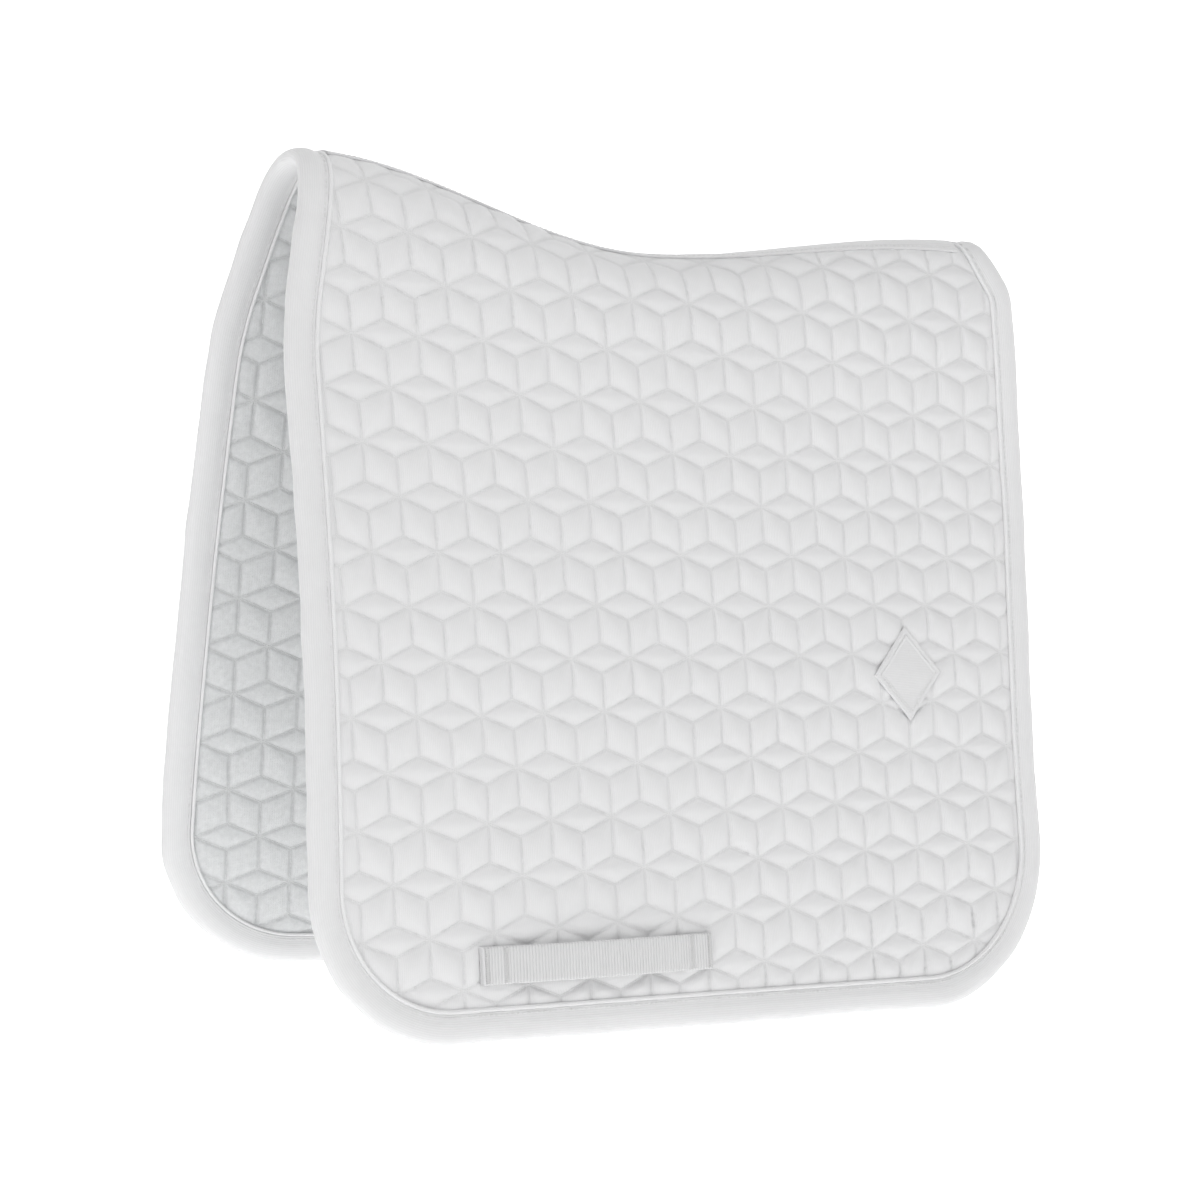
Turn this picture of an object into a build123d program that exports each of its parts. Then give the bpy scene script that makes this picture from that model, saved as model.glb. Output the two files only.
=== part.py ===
from build123d import *
import math
import os

# Quilted saddle pad, in millimetres. +X points to the horse's head, +Y to its left side, +Z up.
# The origin is under the spine at its lowest dip, where the pad sits on the horse's back.

# ---- laminate -------------------------------------------------------------------------------
outer_fabric = 1.4
wadding = 7.2
lining = 1.4
laminate = outer_fabric + wadding + lining
half_laminate = laminate / 2
wadding_out = half_laminate - outer_fabric
wadding_in = half_laminate - lining
ply_gap = 0.25

# ---- edging ---------------------------------------------------------------------------------
binding_width = 20.0
binding_cloth = 1.2
piping_wide = 2.8
piping_proud = 2.6
inner_piping_proud = 1.8
tape_cloth = 1.0
tape_gap = 0.5
tape_half_width = 16.0

# ---- side outline, X forward and Z up -------------------------------------------------------
front_top_x = 281.0
front_top_z = 74.0
front_fold_x = 312.0
front_fold_z = -49.0
front_hem_x = 327.0
front_hem_z = -514.0
rear_hem_x = -308.0
rear_hem_z = -552.0
rear_mid_x = -319.0
rear_mid_z = -170.0
rear_top_x = -313.0
rear_top_z = -8.0
rear_top_slant = 60.0
front_shoulder_radius = 300.0
front_corner_radius = 108.0
rear_corner_radius = 118.0
rear_waist_radius = 700.0
rear_top_radius = 42.0
outline_ceiling = 190.0

# ---- spine profile --------------------------------------------------------------------------
withers_x = 280.0
withers_rise = 62.0
loin_x = -256.0
loin_rise = 20.0
crest_shoulder = 0.5
crest_upright = 0.85

# ---- how far each side hangs from the centre plane ------------------------------------------
plan_front_x = 320.0
plan_rear_x = -335.0
fold_gap_front = 72.0
fold_gap_rear = 24.0
hem_gap_front = 160.0
hem_gap_rear = 92.0
fold_z = -50.0
hem_z = -540.0
belly_front = 15.0
belly_rear = -8.0

# ---- fold between the crest and each hanging side -------------------------------------------
fold_clearance = 1.0
fold_radius = half_laminate + piping_proud + 0.4
crest_foot_z = fold_z + fold_radius + fold_clearance

# ---- girth keeper ---------------------------------------------------------------------------
keeper_front_x = 202.0
keeper_rear_x = 12.0
keeper_top_z = -458.0
keeper_height = 25.0
keeper_slope = 0.055
keeper_end = 24.0
keeper_webbing = 2.0
keeper_bow = 9.5
tack_width = 3.0
tack_proud = 0.5

# ---- diamond patch --------------------------------------------------------------------------
patch_x = -186.0
patch_z = -298.0
patch_half_wide = 32.5
patch_half_high = 35.0
patch_corner = 2.5
patch_cloth = 1.1
patch_stitch_inset = 4.5
patch_stitch_wide = 1.0
patch_stitch_proud = 0.35

STATIONS = 7
STATION_FRONT = 350.0
STATION_REAR = -360.0


def blend(front, rear, x):
    share = (x - plan_rear_x) / (plan_front_x - plan_rear_x)
    return rear + (front - rear) * share


def crest_z(x):
    """Height of the laminate's middle along the spine."""
    base = half_laminate + tape_gap + tape_cloth
    if x >= 0:
        turn = min(x / withers_x, 1.0)
        return base + withers_rise * (1 - math.cos(math.pi * turn)) / 2
    turn = min(x / loin_x, 1.0)
    return base + loin_rise * (1 - math.cos(math.pi * turn)) / 2


def belly(x):
    return blend(belly_front, belly_rear, x)


def wall_slope(x, z):
    """Outward run of the hanging side for each millimetre down."""
    down = max((fold_z - z) / (fold_z - hem_z), 0.0)
    spread = blend(hem_gap_front, hem_gap_rear, x) - blend(fold_gap_front, fold_gap_rear, x)
    return (spread + math.pi * belly(x) * math.cos(math.pi * down)) / (fold_z - hem_z)


def wall_y(x, z):
    """Distance of the laminate's middle from the centre plane on a hanging side."""
    near = blend(fold_gap_front, fold_gap_rear, x)
    if z > fold_z:
        return near - wall_slope(x, fold_z) * (z - fold_z)
    down = (fold_z - z) / (fold_z - hem_z)
    far = blend(hem_gap_front, hem_gap_rear, x)
    return near + (far - near) * down + belly(x) * math.sin(math.pi * down)


def wall_point(x, z, out):
    slope = wall_slope(x, z)
    size = math.hypot(1, slope)
    return Vector(x, wall_y(x, z) + out / size, z + out * slope / size)


def crest_frame(x, t):
    """Point and outward normal on the half arch, t = 0 at the fold and 1 on the centre plane."""
    near = blend(fold_gap_front, fold_gap_rear, x)
    top = crest_z(x)
    rise = crest_upright * (top - fold_z)
    poles = [
        (near, fold_z),
        (near - wall_slope(x, fold_z) * rise, fold_z + rise),
        (crest_shoulder * near, top),
        (0.0, top),
    ]
    s = 1 - t
    weights = (s**3, 3 * s * s * t, 3 * s * t * t, t**3)
    y = sum(w * p[0] for w, p in zip(weights, poles))
    z = sum(w * p[1] for w, p in zip(weights, poles))
    steps = (3 * s * s, 6 * s * t, 3 * t * t)
    dy = sum(w * (b[0] - a[0]) for w, a, b in zip(steps, poles, poles[1:]))
    dz = sum(w * (b[1] - a[1]) for w, a, b in zip(steps, poles, poles[1:]))
    size = math.hypot(dy, dz)
    return y, z, dz / size, -dy / size


def crest_run(x, count=7):
    """Frames from the centre plane outwards, evenly spaced along the arch."""
    fine = [crest_frame(x, 1 - i / 240) for i in range(241)]
    travelled = [0.0]
    for a, b in zip(fine, fine[1:]):
        travelled.append(travelled[-1] + math.hypot(b[0] - a[0], b[1] - a[1]))
    picked = []
    for i in range(count):
        goal = travelled[-1] * i / (count - 1)
        k = min(range(len(travelled)), key=lambda j: abs(travelled[j] - goal))
        picked.append(fine[k])
    return picked


def crest_point(x, frame, out):
    y, z, ny, nz = frame
    return Vector(x, y + ny * out, z + nz * out)


def stations():
    for i in range(STATIONS):
        yield STATION_REAR + (STATION_FRONT - STATION_REAR) * i / (STATIONS - 1)


def strip_face(outside, inside):
    """Closed section between two runs of points that start at the same end."""
    upper = Edge.make_spline(outside)
    lower = Edge.make_spline(inside)
    first = Edge.make_line(inside[0], outside[0])
    last = Edge.make_line(outside[-1], inside[-1])
    return Face(Wire([upper, last, lower, first]))


def wall_slab(inner, outer):
    """Left hanging side between two offsets from the laminate's middle."""
    levels = [fold_z + 14 - i * (fold_z + 14 - hem_z + 40) / 6 for i in range(7)]
    faces = []
    for x in (STATION_REAR, STATION_FRONT):
        out_run = [wall_point(x, z, outer) for z in levels]
        in_run = [wall_point(x, z, inner) for z in levels]
        faces.append(strip_face(out_run, in_run))
    return loft(faces, ruled=True)


def crest_slab(inner, outer):
    """Left half of the crest between two offsets from the laminate's middle."""
    faces = []
    for x in stations():
        run = crest_run(x)
        out_run = [crest_point(x, frame, outer) for frame in run]
        in_run = [crest_point(x, frame, inner) for frame in run]
        faces.append(strip_face(out_run, in_run))
    return loft(faces)


def right_of(shape):
    return mirror(shape, about=Plane.XZ)


def both(shape):
    return shape + right_of(shape)


def side_outline():
    climb = (outline_ceiling - rear_top_z) / math.tan(math.radians(rear_top_slant))
    lean = (front_fold_x - front_top_x) / (front_top_z - front_fold_z)
    corners = [
        (front_top_x - lean * (outline_ceiling - front_top_z), outline_ceiling),
        (front_fold_x, front_fold_z),
        (front_hem_x, front_hem_z),
        (rear_hem_x, rear_hem_z),
        (rear_mid_x, rear_mid_z),
        (rear_top_x, rear_top_z),
        (rear_top_x + climb, outline_ceiling),
    ]
    radii = [
        None,
        front_shoulder_radius,
        front_corner_radius,
        rear_corner_radius,
        rear_waist_radius,
        rear_top_radius,
        None,
    ]
    face = Face(Wire.make_polygon([Vector(x, 0, z) for x, z in corners], close=True))
    for (x, z), radius in zip(corners, radii):
        if radius is None:
            continue
        corner = min(face.vertices(), key=lambda v: (v.X - x) ** 2 + (v.Z - z) ** 2)
        face = face.fillet_2d(radius, [corner])
    return face


def prism(face):
    return extrude(face, amount=400, dir=(0, 1, 0), both=True)


OUTLINE = side_outline()


def inset_prism(depth):
    if depth == 0:
        return prism(OUTLINE)
    return prism(Face(OUTLINE.outer_wire().offset_2d(-depth)))


def box_between(low, high):
    size = [b - a for a, b in zip(low, high)]
    middle = [(a + b) / 2 for a, b in zip(low, high)]
    return Pos(*middle) * Box(*size)


def fold_axis():
    rear = Vector(plan_rear_x, fold_gap_rear, fold_z)
    front = Vector(plan_front_x, fold_gap_front, fold_z)
    return rear, front - rear


def flap_zone():
    """Everything below the fold axis, with a half-round nose about it."""
    start, run = fold_axis()
    plane = Plane(origin=start - run * 0.2, z_dir=run)
    nose = extrude(plane * Circle(fold_radius), amount=run.length * 1.4)
    below = box_between((-450, -200, -700), (450, 400, fold_z))
    return nose + below


WHOLE = inset_prism(0)
CORE = inset_prism(binding_cloth + ply_gap)
CORE_ROOM = inset_prism(binding_cloth)
FIELD = inset_prism(binding_width)
PIPING_FIELD = inset_prism(binding_width + ply_gap)
INNER_FIELD = inset_prism(binding_width + ply_gap + piping_wide)
TAPE_FIELD = inset_prism(binding_width + 2 * ply_gap + piping_wide)
FLAP = flap_zone()
CREST = box_between((-450, -400, crest_foot_z), (450, 400, 300))
FRONT_HALF = box_between((0, -400, -700), (450, 400, 300))
REAR_HALF = box_between((-450, -400, -700), (0, 400, 300))

BINDING_RING = WHOLE - FIELD
PIPING_RING = PIPING_FIELD - INNER_FIELD


def write(node, shape):
    solids = shape.solids()
    body = solids[0] if len(solids) == 1 else Compound(children=list(solids))
    body.label = node
    export_step(body, f"parts/{node}.step")
    return shape


def layers():
    yield "outer", wadding_out, half_laminate
    yield "wadding", ply_gap - wadding_in, wadding_out - ply_gap
    yield "lining", -half_laminate, -wadding_in


def make_laminate():
    for name, inner, outer in layers():
        flap = wall_slab(inner, outer) & CORE & FLAP
        crest = crest_slab(inner, outer) & CORE & CREST
        write(f"left_flap_{name}", flap)
        write(f"right_flap_{name}", right_of(flap))
        write(f"left_crest_{name}", crest)
        write(f"right_crest_{name}", right_of(crest))


def make_binding():
    room = half_laminate + ply_gap
    outside = room + binding_cloth
    flap = wall_slab(-outside, outside) & BINDING_RING & FLAP
    flap -= wall_slab(-room, room) & CORE_ROOM
    write("left_flap_binding", flap)
    write("right_flap_binding", right_of(flap))
    arch = crest_slab(-outside, outside) & BINDING_RING & CREST
    arch -= crest_slab(-room, room) & CORE_ROOM
    write("front_arch_binding", both(arch & FRONT_HALF))
    write("rear_arch_binding", both(arch & REAR_HALF))


def make_piping():
    runs = (
        ("outer_piping", half_laminate + ply_gap, half_laminate + piping_proud),
        ("inner_piping", -half_laminate - inner_piping_proud, -half_laminate - ply_gap),
    )
    for name, inner, outer in runs:
        flap = wall_slab(inner, outer) & PIPING_RING & FLAP
        write(f"left_flap_{name}", flap)
        write(f"right_flap_{name}", right_of(flap))
        arch = crest_slab(inner, outer) & PIPING_RING & CREST
        write(f"front_arch_{name}", both(arch & FRONT_HALF))
        write(f"rear_arch_{name}", both(arch & REAR_HALF))


def make_tapes():
    low = half_laminate + tape_gap
    high = low + tape_cloth
    strip = box_between((-450, -tape_half_width, -100), (450, tape_half_width, 300))
    write("spine_tape", both(crest_slab(low, high) & TAPE_FIELD & strip))
    write("spine_seam_tape", both(crest_slab(-high, -low) & TAPE_FIELD & strip))


def keeper_top(x):
    return keeper_top_z - keeper_slope * (keeper_front_x - x)


def keeper_face(x, inner, outer):
    """Section of the webbing across its length, held off the fabric."""
    top = keeper_top(x)
    low = top - keeper_height
    base = half_laminate + ply_gap
    corners = [
        wall_point(x, top, base + outer),
        wall_point(x, low, base + outer),
        wall_point(x, low, base + inner),
        wall_point(x, top, base + inner),
    ]
    return Face(Wire.make_polygon(corners, close=True))


def keeper_rise(x):
    """Clear height of the webbing over the fabric at x."""
    span = keeper_front_x - keeper_rear_x - 2 * keeper_end
    along = (keeper_front_x - keeper_end - x) / span
    if along <= 0 or along >= 1:
        return 0.0
    return keeper_bow * math.sin(math.pi * along) ** 0.8


def make_keepers():
    """Webbing folded back at both ends, bowed between them so a girth strap slips through."""
    front = keeper_front_x - keeper_end
    rear = keeper_rear_x + keeper_end
    bow = []
    for i in range(13):
        x = rear + (front - rear) * i / 12
        rise = keeper_rise(x)
        bow.append(keeper_face(x, rise, rise + keeper_webbing))
    webbing = loft(bow, ruled=True)
    ends = []
    for a, b in ((keeper_rear_x, rear), (front, keeper_front_x)):
        pad = loft(
            [
                keeper_face(a, 0, 2 * keeper_webbing),
                keeper_face(b, 0, 2 * keeper_webbing),
            ],
            ruled=True,
        )
        ends.append(pad)
    strap = webbing + ends[0] + ends[1]
    write("left_girth_keeper", strap)
    write("right_girth_keeper", right_of(strap))
    tacks = []
    for x in (keeper_rear_x + 4, rear - 5, front + 5, keeper_front_x - 4):
        low = 2 * keeper_webbing + 0.1
        sides = (x - tack_width / 2, x + tack_width / 2)
        tacks.append(loft([keeper_face(side, low, low + tack_proud) for side in sides], ruled=True))
    group = Compound(children=[solid for tack in tacks for solid in tack.solids()])
    write("left_keeper_bar_tacks", group)
    write("right_keeper_bar_tacks", right_of(group))


def diamond(inset):
    corners = [
        (patch_x, patch_z + patch_half_high - inset * 1.4),
        (patch_x + patch_half_wide - inset * 1.4, patch_z),
        (patch_x, patch_z - patch_half_high + inset * 1.4),
        (patch_x - patch_half_wide + inset * 1.4, patch_z),
    ]
    face = Face(Wire.make_polygon([Vector(x, 0, z) for x, z in corners], close=True))
    return face.fillet_2d(patch_corner, face.vertices())


def make_patch():
    reach = patch_half_high + 10
    near = box_between((patch_x - reach, 0, patch_z - reach), (patch_x + reach, 400, patch_z + reach))
    low = half_laminate + ply_gap
    face = low + patch_cloth
    write("diamond_patch", wall_slab(low, face) & near & prism(diamond(0)))
    over = wall_slab(face + 0.1, face + patch_stitch_proud + 0.1) & near
    ring = over & prism(diamond(patch_stitch_inset))
    write("diamond_patch_stitching", ring - prism(diamond(patch_stitch_inset + patch_stitch_wide)))


os.makedirs("parts", exist_ok=True)
make_laminate()
make_binding()
make_piping()
make_tapes()
make_keepers()
make_patch()
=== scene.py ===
import math

import bmesh
import bpy
import numpy as np
from mathutils import Matrix, Vector


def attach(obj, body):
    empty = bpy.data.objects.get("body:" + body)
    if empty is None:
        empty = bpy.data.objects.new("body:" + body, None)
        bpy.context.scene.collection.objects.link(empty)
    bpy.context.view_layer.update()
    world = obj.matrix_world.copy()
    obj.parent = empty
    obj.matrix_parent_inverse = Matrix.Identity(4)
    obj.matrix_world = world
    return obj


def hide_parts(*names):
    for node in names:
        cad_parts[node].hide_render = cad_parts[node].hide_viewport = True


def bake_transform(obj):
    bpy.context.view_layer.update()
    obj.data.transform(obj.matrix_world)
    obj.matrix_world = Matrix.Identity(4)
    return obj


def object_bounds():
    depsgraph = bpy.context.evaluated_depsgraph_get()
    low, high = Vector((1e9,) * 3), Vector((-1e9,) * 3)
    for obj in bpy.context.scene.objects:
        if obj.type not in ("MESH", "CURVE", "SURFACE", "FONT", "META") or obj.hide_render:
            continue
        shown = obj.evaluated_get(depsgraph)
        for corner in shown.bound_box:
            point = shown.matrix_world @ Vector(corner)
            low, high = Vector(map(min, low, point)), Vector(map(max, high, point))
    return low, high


bl_info = {
    "name": "Quilted Saddle Pad",
    "version": (1, 0, 0),
    "blender": (4, 5, 0),
    "location": "View3D > Sidebar > Saddle Pad",
    "description": "Builds a quilted saddle pad with binding, piping, spine tape, girth keepers and a diamond patch",
    "category": "Add Mesh",
}

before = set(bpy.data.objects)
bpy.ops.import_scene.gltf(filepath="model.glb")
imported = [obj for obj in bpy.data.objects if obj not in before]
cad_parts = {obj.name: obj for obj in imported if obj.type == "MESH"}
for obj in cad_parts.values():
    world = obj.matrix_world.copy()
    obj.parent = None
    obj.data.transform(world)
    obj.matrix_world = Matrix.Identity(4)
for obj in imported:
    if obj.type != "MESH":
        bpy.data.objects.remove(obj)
CAD_BOX = [list(corner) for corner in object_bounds()]

# The pad's middle surface, in metres: +X to the horse's head, +Y to its left, +Z up.
FOLD_Z = -0.050
HEM_Z = -0.540
PLAN = (0.320, -0.335)
FOLD_GAP = (0.072, 0.024)
HEM_GAP = (0.160, 0.092)
BELLY = (0.015, -0.008)
WITHERS = (0.280, 0.062)
LOIN = (-0.256, 0.020)
CREST_BASE = 0.0065
CREST_SHOULDER = 0.5
CREST_UPRIGHT = 0.85
WALL_STEP = 0.1
TURN = math.tau
PANEL_INSET = 0.008
SHARP = 50.0
PIPING_DEPTH = 0.0221
STITCH_PITCH = 0.0042
BINDING_STITCH_DEPTH = 0.0186

OUTLINE_CORNERS = [
    (0.25176, 0.190), (0.312, -0.049), (0.327, -0.514), (-0.308, -0.552),
    (-0.319, -0.170), (-0.313, -0.008), (-0.19868, 0.190),
]
OUTLINE_RADII = [None, 0.300, 0.108, 0.118, 0.700, 0.042, None]

# The quilting: rows of blocks, each three lozenges seen as a cube.
BLOCK_WIDE = 0.0525
BLOCK_ROW = 0.037
BLOCK_UPRIGHT = 0.0266
BLOCK_LID = 0.0208
LID_SLOPE = BLOCK_LID / BLOCK_WIDE
LID_COS = 1 / math.hypot(1, LID_SLOPE)


def along_plan(pair, x):
    share = (x - PLAN[1]) / (PLAN[0] - PLAN[1])
    return pair[1] + (pair[0] - pair[1]) * share


def smooth(t):
    t = np.clip(t, 0, 1)
    return t * t * (3 - 2 * t)


def crest_height(x):
    fore = np.clip(x / WITHERS[0], 0, 1)
    aft = np.clip(x / LOIN[0], 0, 1)
    lift = WITHERS[1] * (1 - np.cos(np.pi * fore)) / 2
    return CREST_BASE + lift + LOIN[1] * (1 - np.cos(np.pi * aft)) / 2


def wall_slope(x, z):
    down = np.maximum((FOLD_Z - z) / (FOLD_Z - HEM_Z), 0)
    spread = along_plan(HEM_GAP, x) - along_plan(FOLD_GAP, x)
    return (spread + np.pi * along_plan(BELLY, x) * np.cos(np.pi * down)) / (FOLD_Z - HEM_Z)


def wall_middle(x, z):
    near = along_plan(FOLD_GAP, x)
    down = (FOLD_Z - z) / (FOLD_Z - HEM_Z)
    far = along_plan(HEM_GAP, x)
    return near + (far - near) * down + along_plan(BELLY, x) * np.sin(np.pi * down)


def crest_curve(x, t):
    """Point and normal on the half arch: t is 0 at the fold and 1 at the spine."""
    near = along_plan(FOLD_GAP, x)
    top = crest_height(x)
    rise = CREST_UPRIGHT * (top - FOLD_Z)
    ys = (near, near - wall_slope(x, FOLD_Z) * rise, CREST_SHOULDER * near, 0 * near)
    zs = (FOLD_Z + 0 * near, FOLD_Z + rise, top, top)
    s = 1 - t
    weights = (s**3, 3 * s * s * t, 3 * s * t * t, t**3)
    steps = (3 * s * s, 6 * s * t, 3 * t * t)
    y = sum(w * p for w, p in zip(weights, ys))
    z = sum(w * p for w, p in zip(weights, zs))
    dy = sum(w * (b - a) for w, a, b in zip(steps, ys, ys[1:]))
    dz = sum(w * (b - a) for w, a, b in zip(steps, zs, zs[1:]))
    size = np.hypot(dy, dz)
    return y, z, dz / size, -dy / size


TABLE_X = np.linspace(-0.37, 0.36, 147)
TABLE_T = np.linspace(0, 1, 257)
_gx, _gt = np.meshgrid(TABLE_X, TABLE_T, indexing="ij")
_gy, _gz, _, _ = crest_curve(_gx, _gt)
_arc = np.hypot(np.diff(_gy, axis=1), np.diff(_gz, axis=1)).cumsum(axis=1)
_arc = np.concatenate([np.zeros((len(TABLE_X), 1)), _arc], axis=1)
CREST_LENGTH = _arc[:, -1]
SHARE_STEPS = 129
T_OF_SHARE = np.array([np.interp(np.linspace(0, 1, SHARE_STEPS), a / a[-1], TABLE_T) for a in _arc])


def crest_length(x):
    return np.interp(x, TABLE_X, CREST_LENGTH)


def crest_t(x, share):
    i = np.clip((x - TABLE_X[0]) / (TABLE_X[1] - TABLE_X[0]), 0, len(TABLE_X) - 1.001)
    j = np.clip(share * (SHARE_STEPS - 1), 0, SHARE_STEPS - 1.001)
    i0, j0 = i.astype(int), j.astype(int)
    fi, fj = i - i0, j - j0
    low = T_OF_SHARE[i0, j0] * (1 - fj) + T_OF_SHARE[i0, j0 + 1] * fj
    high = T_OF_SHARE[i0 + 1, j0] * (1 - fj) + T_OF_SHARE[i0 + 1, j0 + 1] * fj
    return np.clip(low * (1 - fi) + high * fi, 0, 1)


def value_noise(a, b, pitch, seed):
    """Smooth noise from -1 to 1 over two coordinates, the same on every run."""
    grid = np.random.default_rng(seed).uniform(-1, 1, (257, 257))
    a, b = np.asarray(a) / pitch + 64, np.asarray(b) / pitch + 64
    i, j = np.floor(a).astype(int), np.floor(b).astype(int)
    fa, fb = a - i, b - j
    fa, fb = fa * fa * (3 - 2 * fa), fb * fb * (3 - 2 * fb)
    i, j = i % 256, j % 256
    low = grid[i, j] * (1 - fa) + grid[i + 1, j] * fa
    high = grid[i, j + 1] * (1 - fa) + grid[i + 1, j + 1] * fa
    return low * (1 - fb) + high * fb


def pad_point(x, w, out, seed=0):
    """Left half of the pad. w runs from -1 at the spine to 0 at the fold, then counts tenths of a metre down."""
    x, w, out = (np.asarray(v, float) for v in np.broadcast_arrays(x, w, out))
    share = np.clip(-w, 0, 1)
    y1, z1, ny1, nz1 = crest_curve(x, crest_t(x, share))
    z2 = FOLD_Z - WALL_STEP * np.maximum(w, 0)
    slope = wall_slope(x, z2)
    size = np.hypot(1, slope)
    wall = w >= 0
    y = np.where(wall, wall_middle(x, z2), y1)
    z = np.where(wall, z2, z1)
    ny = np.where(wall, 1 / size, ny1)
    nz = np.where(wall, slope / size, nz1)
    from_spine = np.where(wall, 1.0, (1 + np.minimum(w, 0)) * 1.6)
    sway = value_noise(x, z, 0.16, 11 + seed) * 0.0016 + value_noise(x, z, 0.07, 12 + seed) * 0.0006
    out = out + sway * smooth(from_spine)
    return np.stack([x, y + ny * out, z + nz * out], axis=-1)


def rounded_outline(inset):
    """Side outline moved inwards by inset, from the front top round the hem to the rear top."""
    points, inward = [], []
    corners = [np.array(c) for c in OUTLINE_CORNERS]
    start = corners[0]
    for k in range(1, len(corners)):
        before = corners[k] - corners[k - 1]
        d1 = before / np.hypot(*before)
        radius = OUTLINE_RADII[k]
        if radius is None:
            end, arc = corners[k], None
        else:
            after = corners[k + 1] - corners[k]
            d2 = after / np.hypot(*after)
            turn = math.acos(np.clip(d1 @ d2, -1, 1))
            end = corners[k] - d1 * radius * math.tan(turn / 2)
            arc = (d1, turn, radius)
        steps = max(int(np.hypot(*(end - start)) / 0.002), 2)
        side = np.array([d1[1], -d1[0]])
        for i in range(steps):
            points.append(start + (end - start) * i / steps)
            inward.append(side)
        start = end
        if arc:
            d1, turn, radius = arc
            centre = end + side * radius
            steps = max(int(turn * radius / 0.002), 6)
            for i in range(steps):
                angle = -turn * i / steps
                c, s = math.cos(angle), math.sin(angle)
                out = np.array([-side[0] * c + side[1] * s, -side[0] * s - side[1] * c])
                points.append(centre + out * radius)
                inward.append(-out)
            c, s = math.cos(-turn), math.sin(-turn)
            start = centre + np.array([-side[0] * c + side[1] * s, -side[0] * s - side[1] * c]) * radius
    points.append(corners[-1])
    inward.append(inward[-1])
    return np.array(points) + np.array(inward) * inset


def hem_line(inset):
    a, b = np.array(OUTLINE_CORNERS[2]), np.array(OUTLINE_CORNERS[3])
    slope = (a[1] - b[1]) / (a[0] - b[0])
    lift = inset * math.hypot(1, slope)
    return lambda x: a[1] + slope * (x - a[0]) + lift


def outline_branches(inset):
    """The front and the rear of the outline as height and X, and the hem between them."""
    ring = rounded_outline(inset)
    line = hem_line(inset)
    gap = ring[:, 1] - line(ring[:, 0])
    on_hem = np.where(gap < 2e-5)[0]
    return ring[: on_hem[0] + 1], ring[on_hem[-1]:], line


def edge_x(branch, x, w):
    """X of a branch at a crest row, found by stepping to it."""
    order = np.argsort(branch[:, 1])
    zs, xs = branch[order, 1], branch[order, 0]
    for _ in range(12):
        z = pad_crest_z(x, w)
        x = np.interp(z, zs, xs)
    return x


def pad_crest_z(x, w):
    x = np.atleast_1d(np.asarray(x, float))
    return crest_curve(x, crest_t(x, np.full_like(x, -w)))[1]


def quilt_fold(u, v):
    x = u - BLOCK_WIDE * np.round(u / BLOCK_WIDE)
    y = v - 2 * BLOCK_ROW * np.round(v / (2 * BLOCK_ROW))
    return np.abs(x), np.abs(y)


def quilt_height(u, v, round_off=0.0060):
    """Pillow height from 0 on a seam to about 1 at the crown of a lozenge, and distance to the seam."""
    x, y = quilt_fold(u, v)
    half = BLOCK_WIDE / 2
    top = y > BLOCK_UPRIGHT + LID_SLOPE * x
    flat = y < LID_SLOPE * x
    xa = np.where(top, x, half - x)
    ya = np.where(top, BLOCK_ROW - y, y)
    tall = BLOCK_LID / 2
    lozenge = [
        (tall - ya - LID_SLOPE * xa) * LID_COS,
        (tall + ya - LID_SLOPE * xa) * LID_COS,
        (tall - ya + LID_SLOPE * xa) * LID_COS,
        (tall + ya + LID_SLOPE * xa) * LID_COS,
    ]
    upright = [
        x,
        half - x,
        (BLOCK_UPRIGHT + LID_SLOPE * x - y) * LID_COS,
        (y - LID_SLOPE * x) * LID_COS,
    ]
    lid = top | flat
    sides = [np.maximum(np.where(lid, a, b), 0) for a, b in zip(lozenge, upright)]
    soft = 0.0010
    height = 1.0
    for d in sides:
        eased = np.sqrt(d * d + soft * soft) - soft
        height = height * (1 - np.exp(-eased / round_off))
    return (height / 0.50) ** 0.70, np.minimum.reduce(sides)


def quilt_uv(x, w, points, phase):
    """Metres across and down the cloth, which the quilting is marked out on."""
    u = (0.2383 - x) / 0.9494
    fold_v = -0.11485 - 0.03144 * u
    on_wall = (-0.1614 - 0.0305 * u - points) / 0.97
    v = np.where(w >= 0, on_wall, fold_v - np.clip(-w, 0, 1) * crest_length(x))
    return u + phase[0] * BLOCK_WIDE, v + phase[1] * BLOCK_ROW


def outline_depth(x, z, ring):
    depth = np.empty(x.shape)
    flat_x, flat_z, flat_d = x.ravel(), z.ravel(), depth.ravel()
    for i in range(0, len(flat_x), 4096):
        dx = flat_x[i:i + 4096, None] - ring[None, :, 0]
        dz = flat_z[i:i + 4096, None] - ring[None, :, 1]
        flat_d[i:i + 4096] = np.sqrt((dx * dx + dz * dz).min(axis=1))
    return flat_d.reshape(x.shape)


def mirrored(points, side):
    return points if side > 0 else points * np.array([1.0, -1.0, 1.0])


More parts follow.
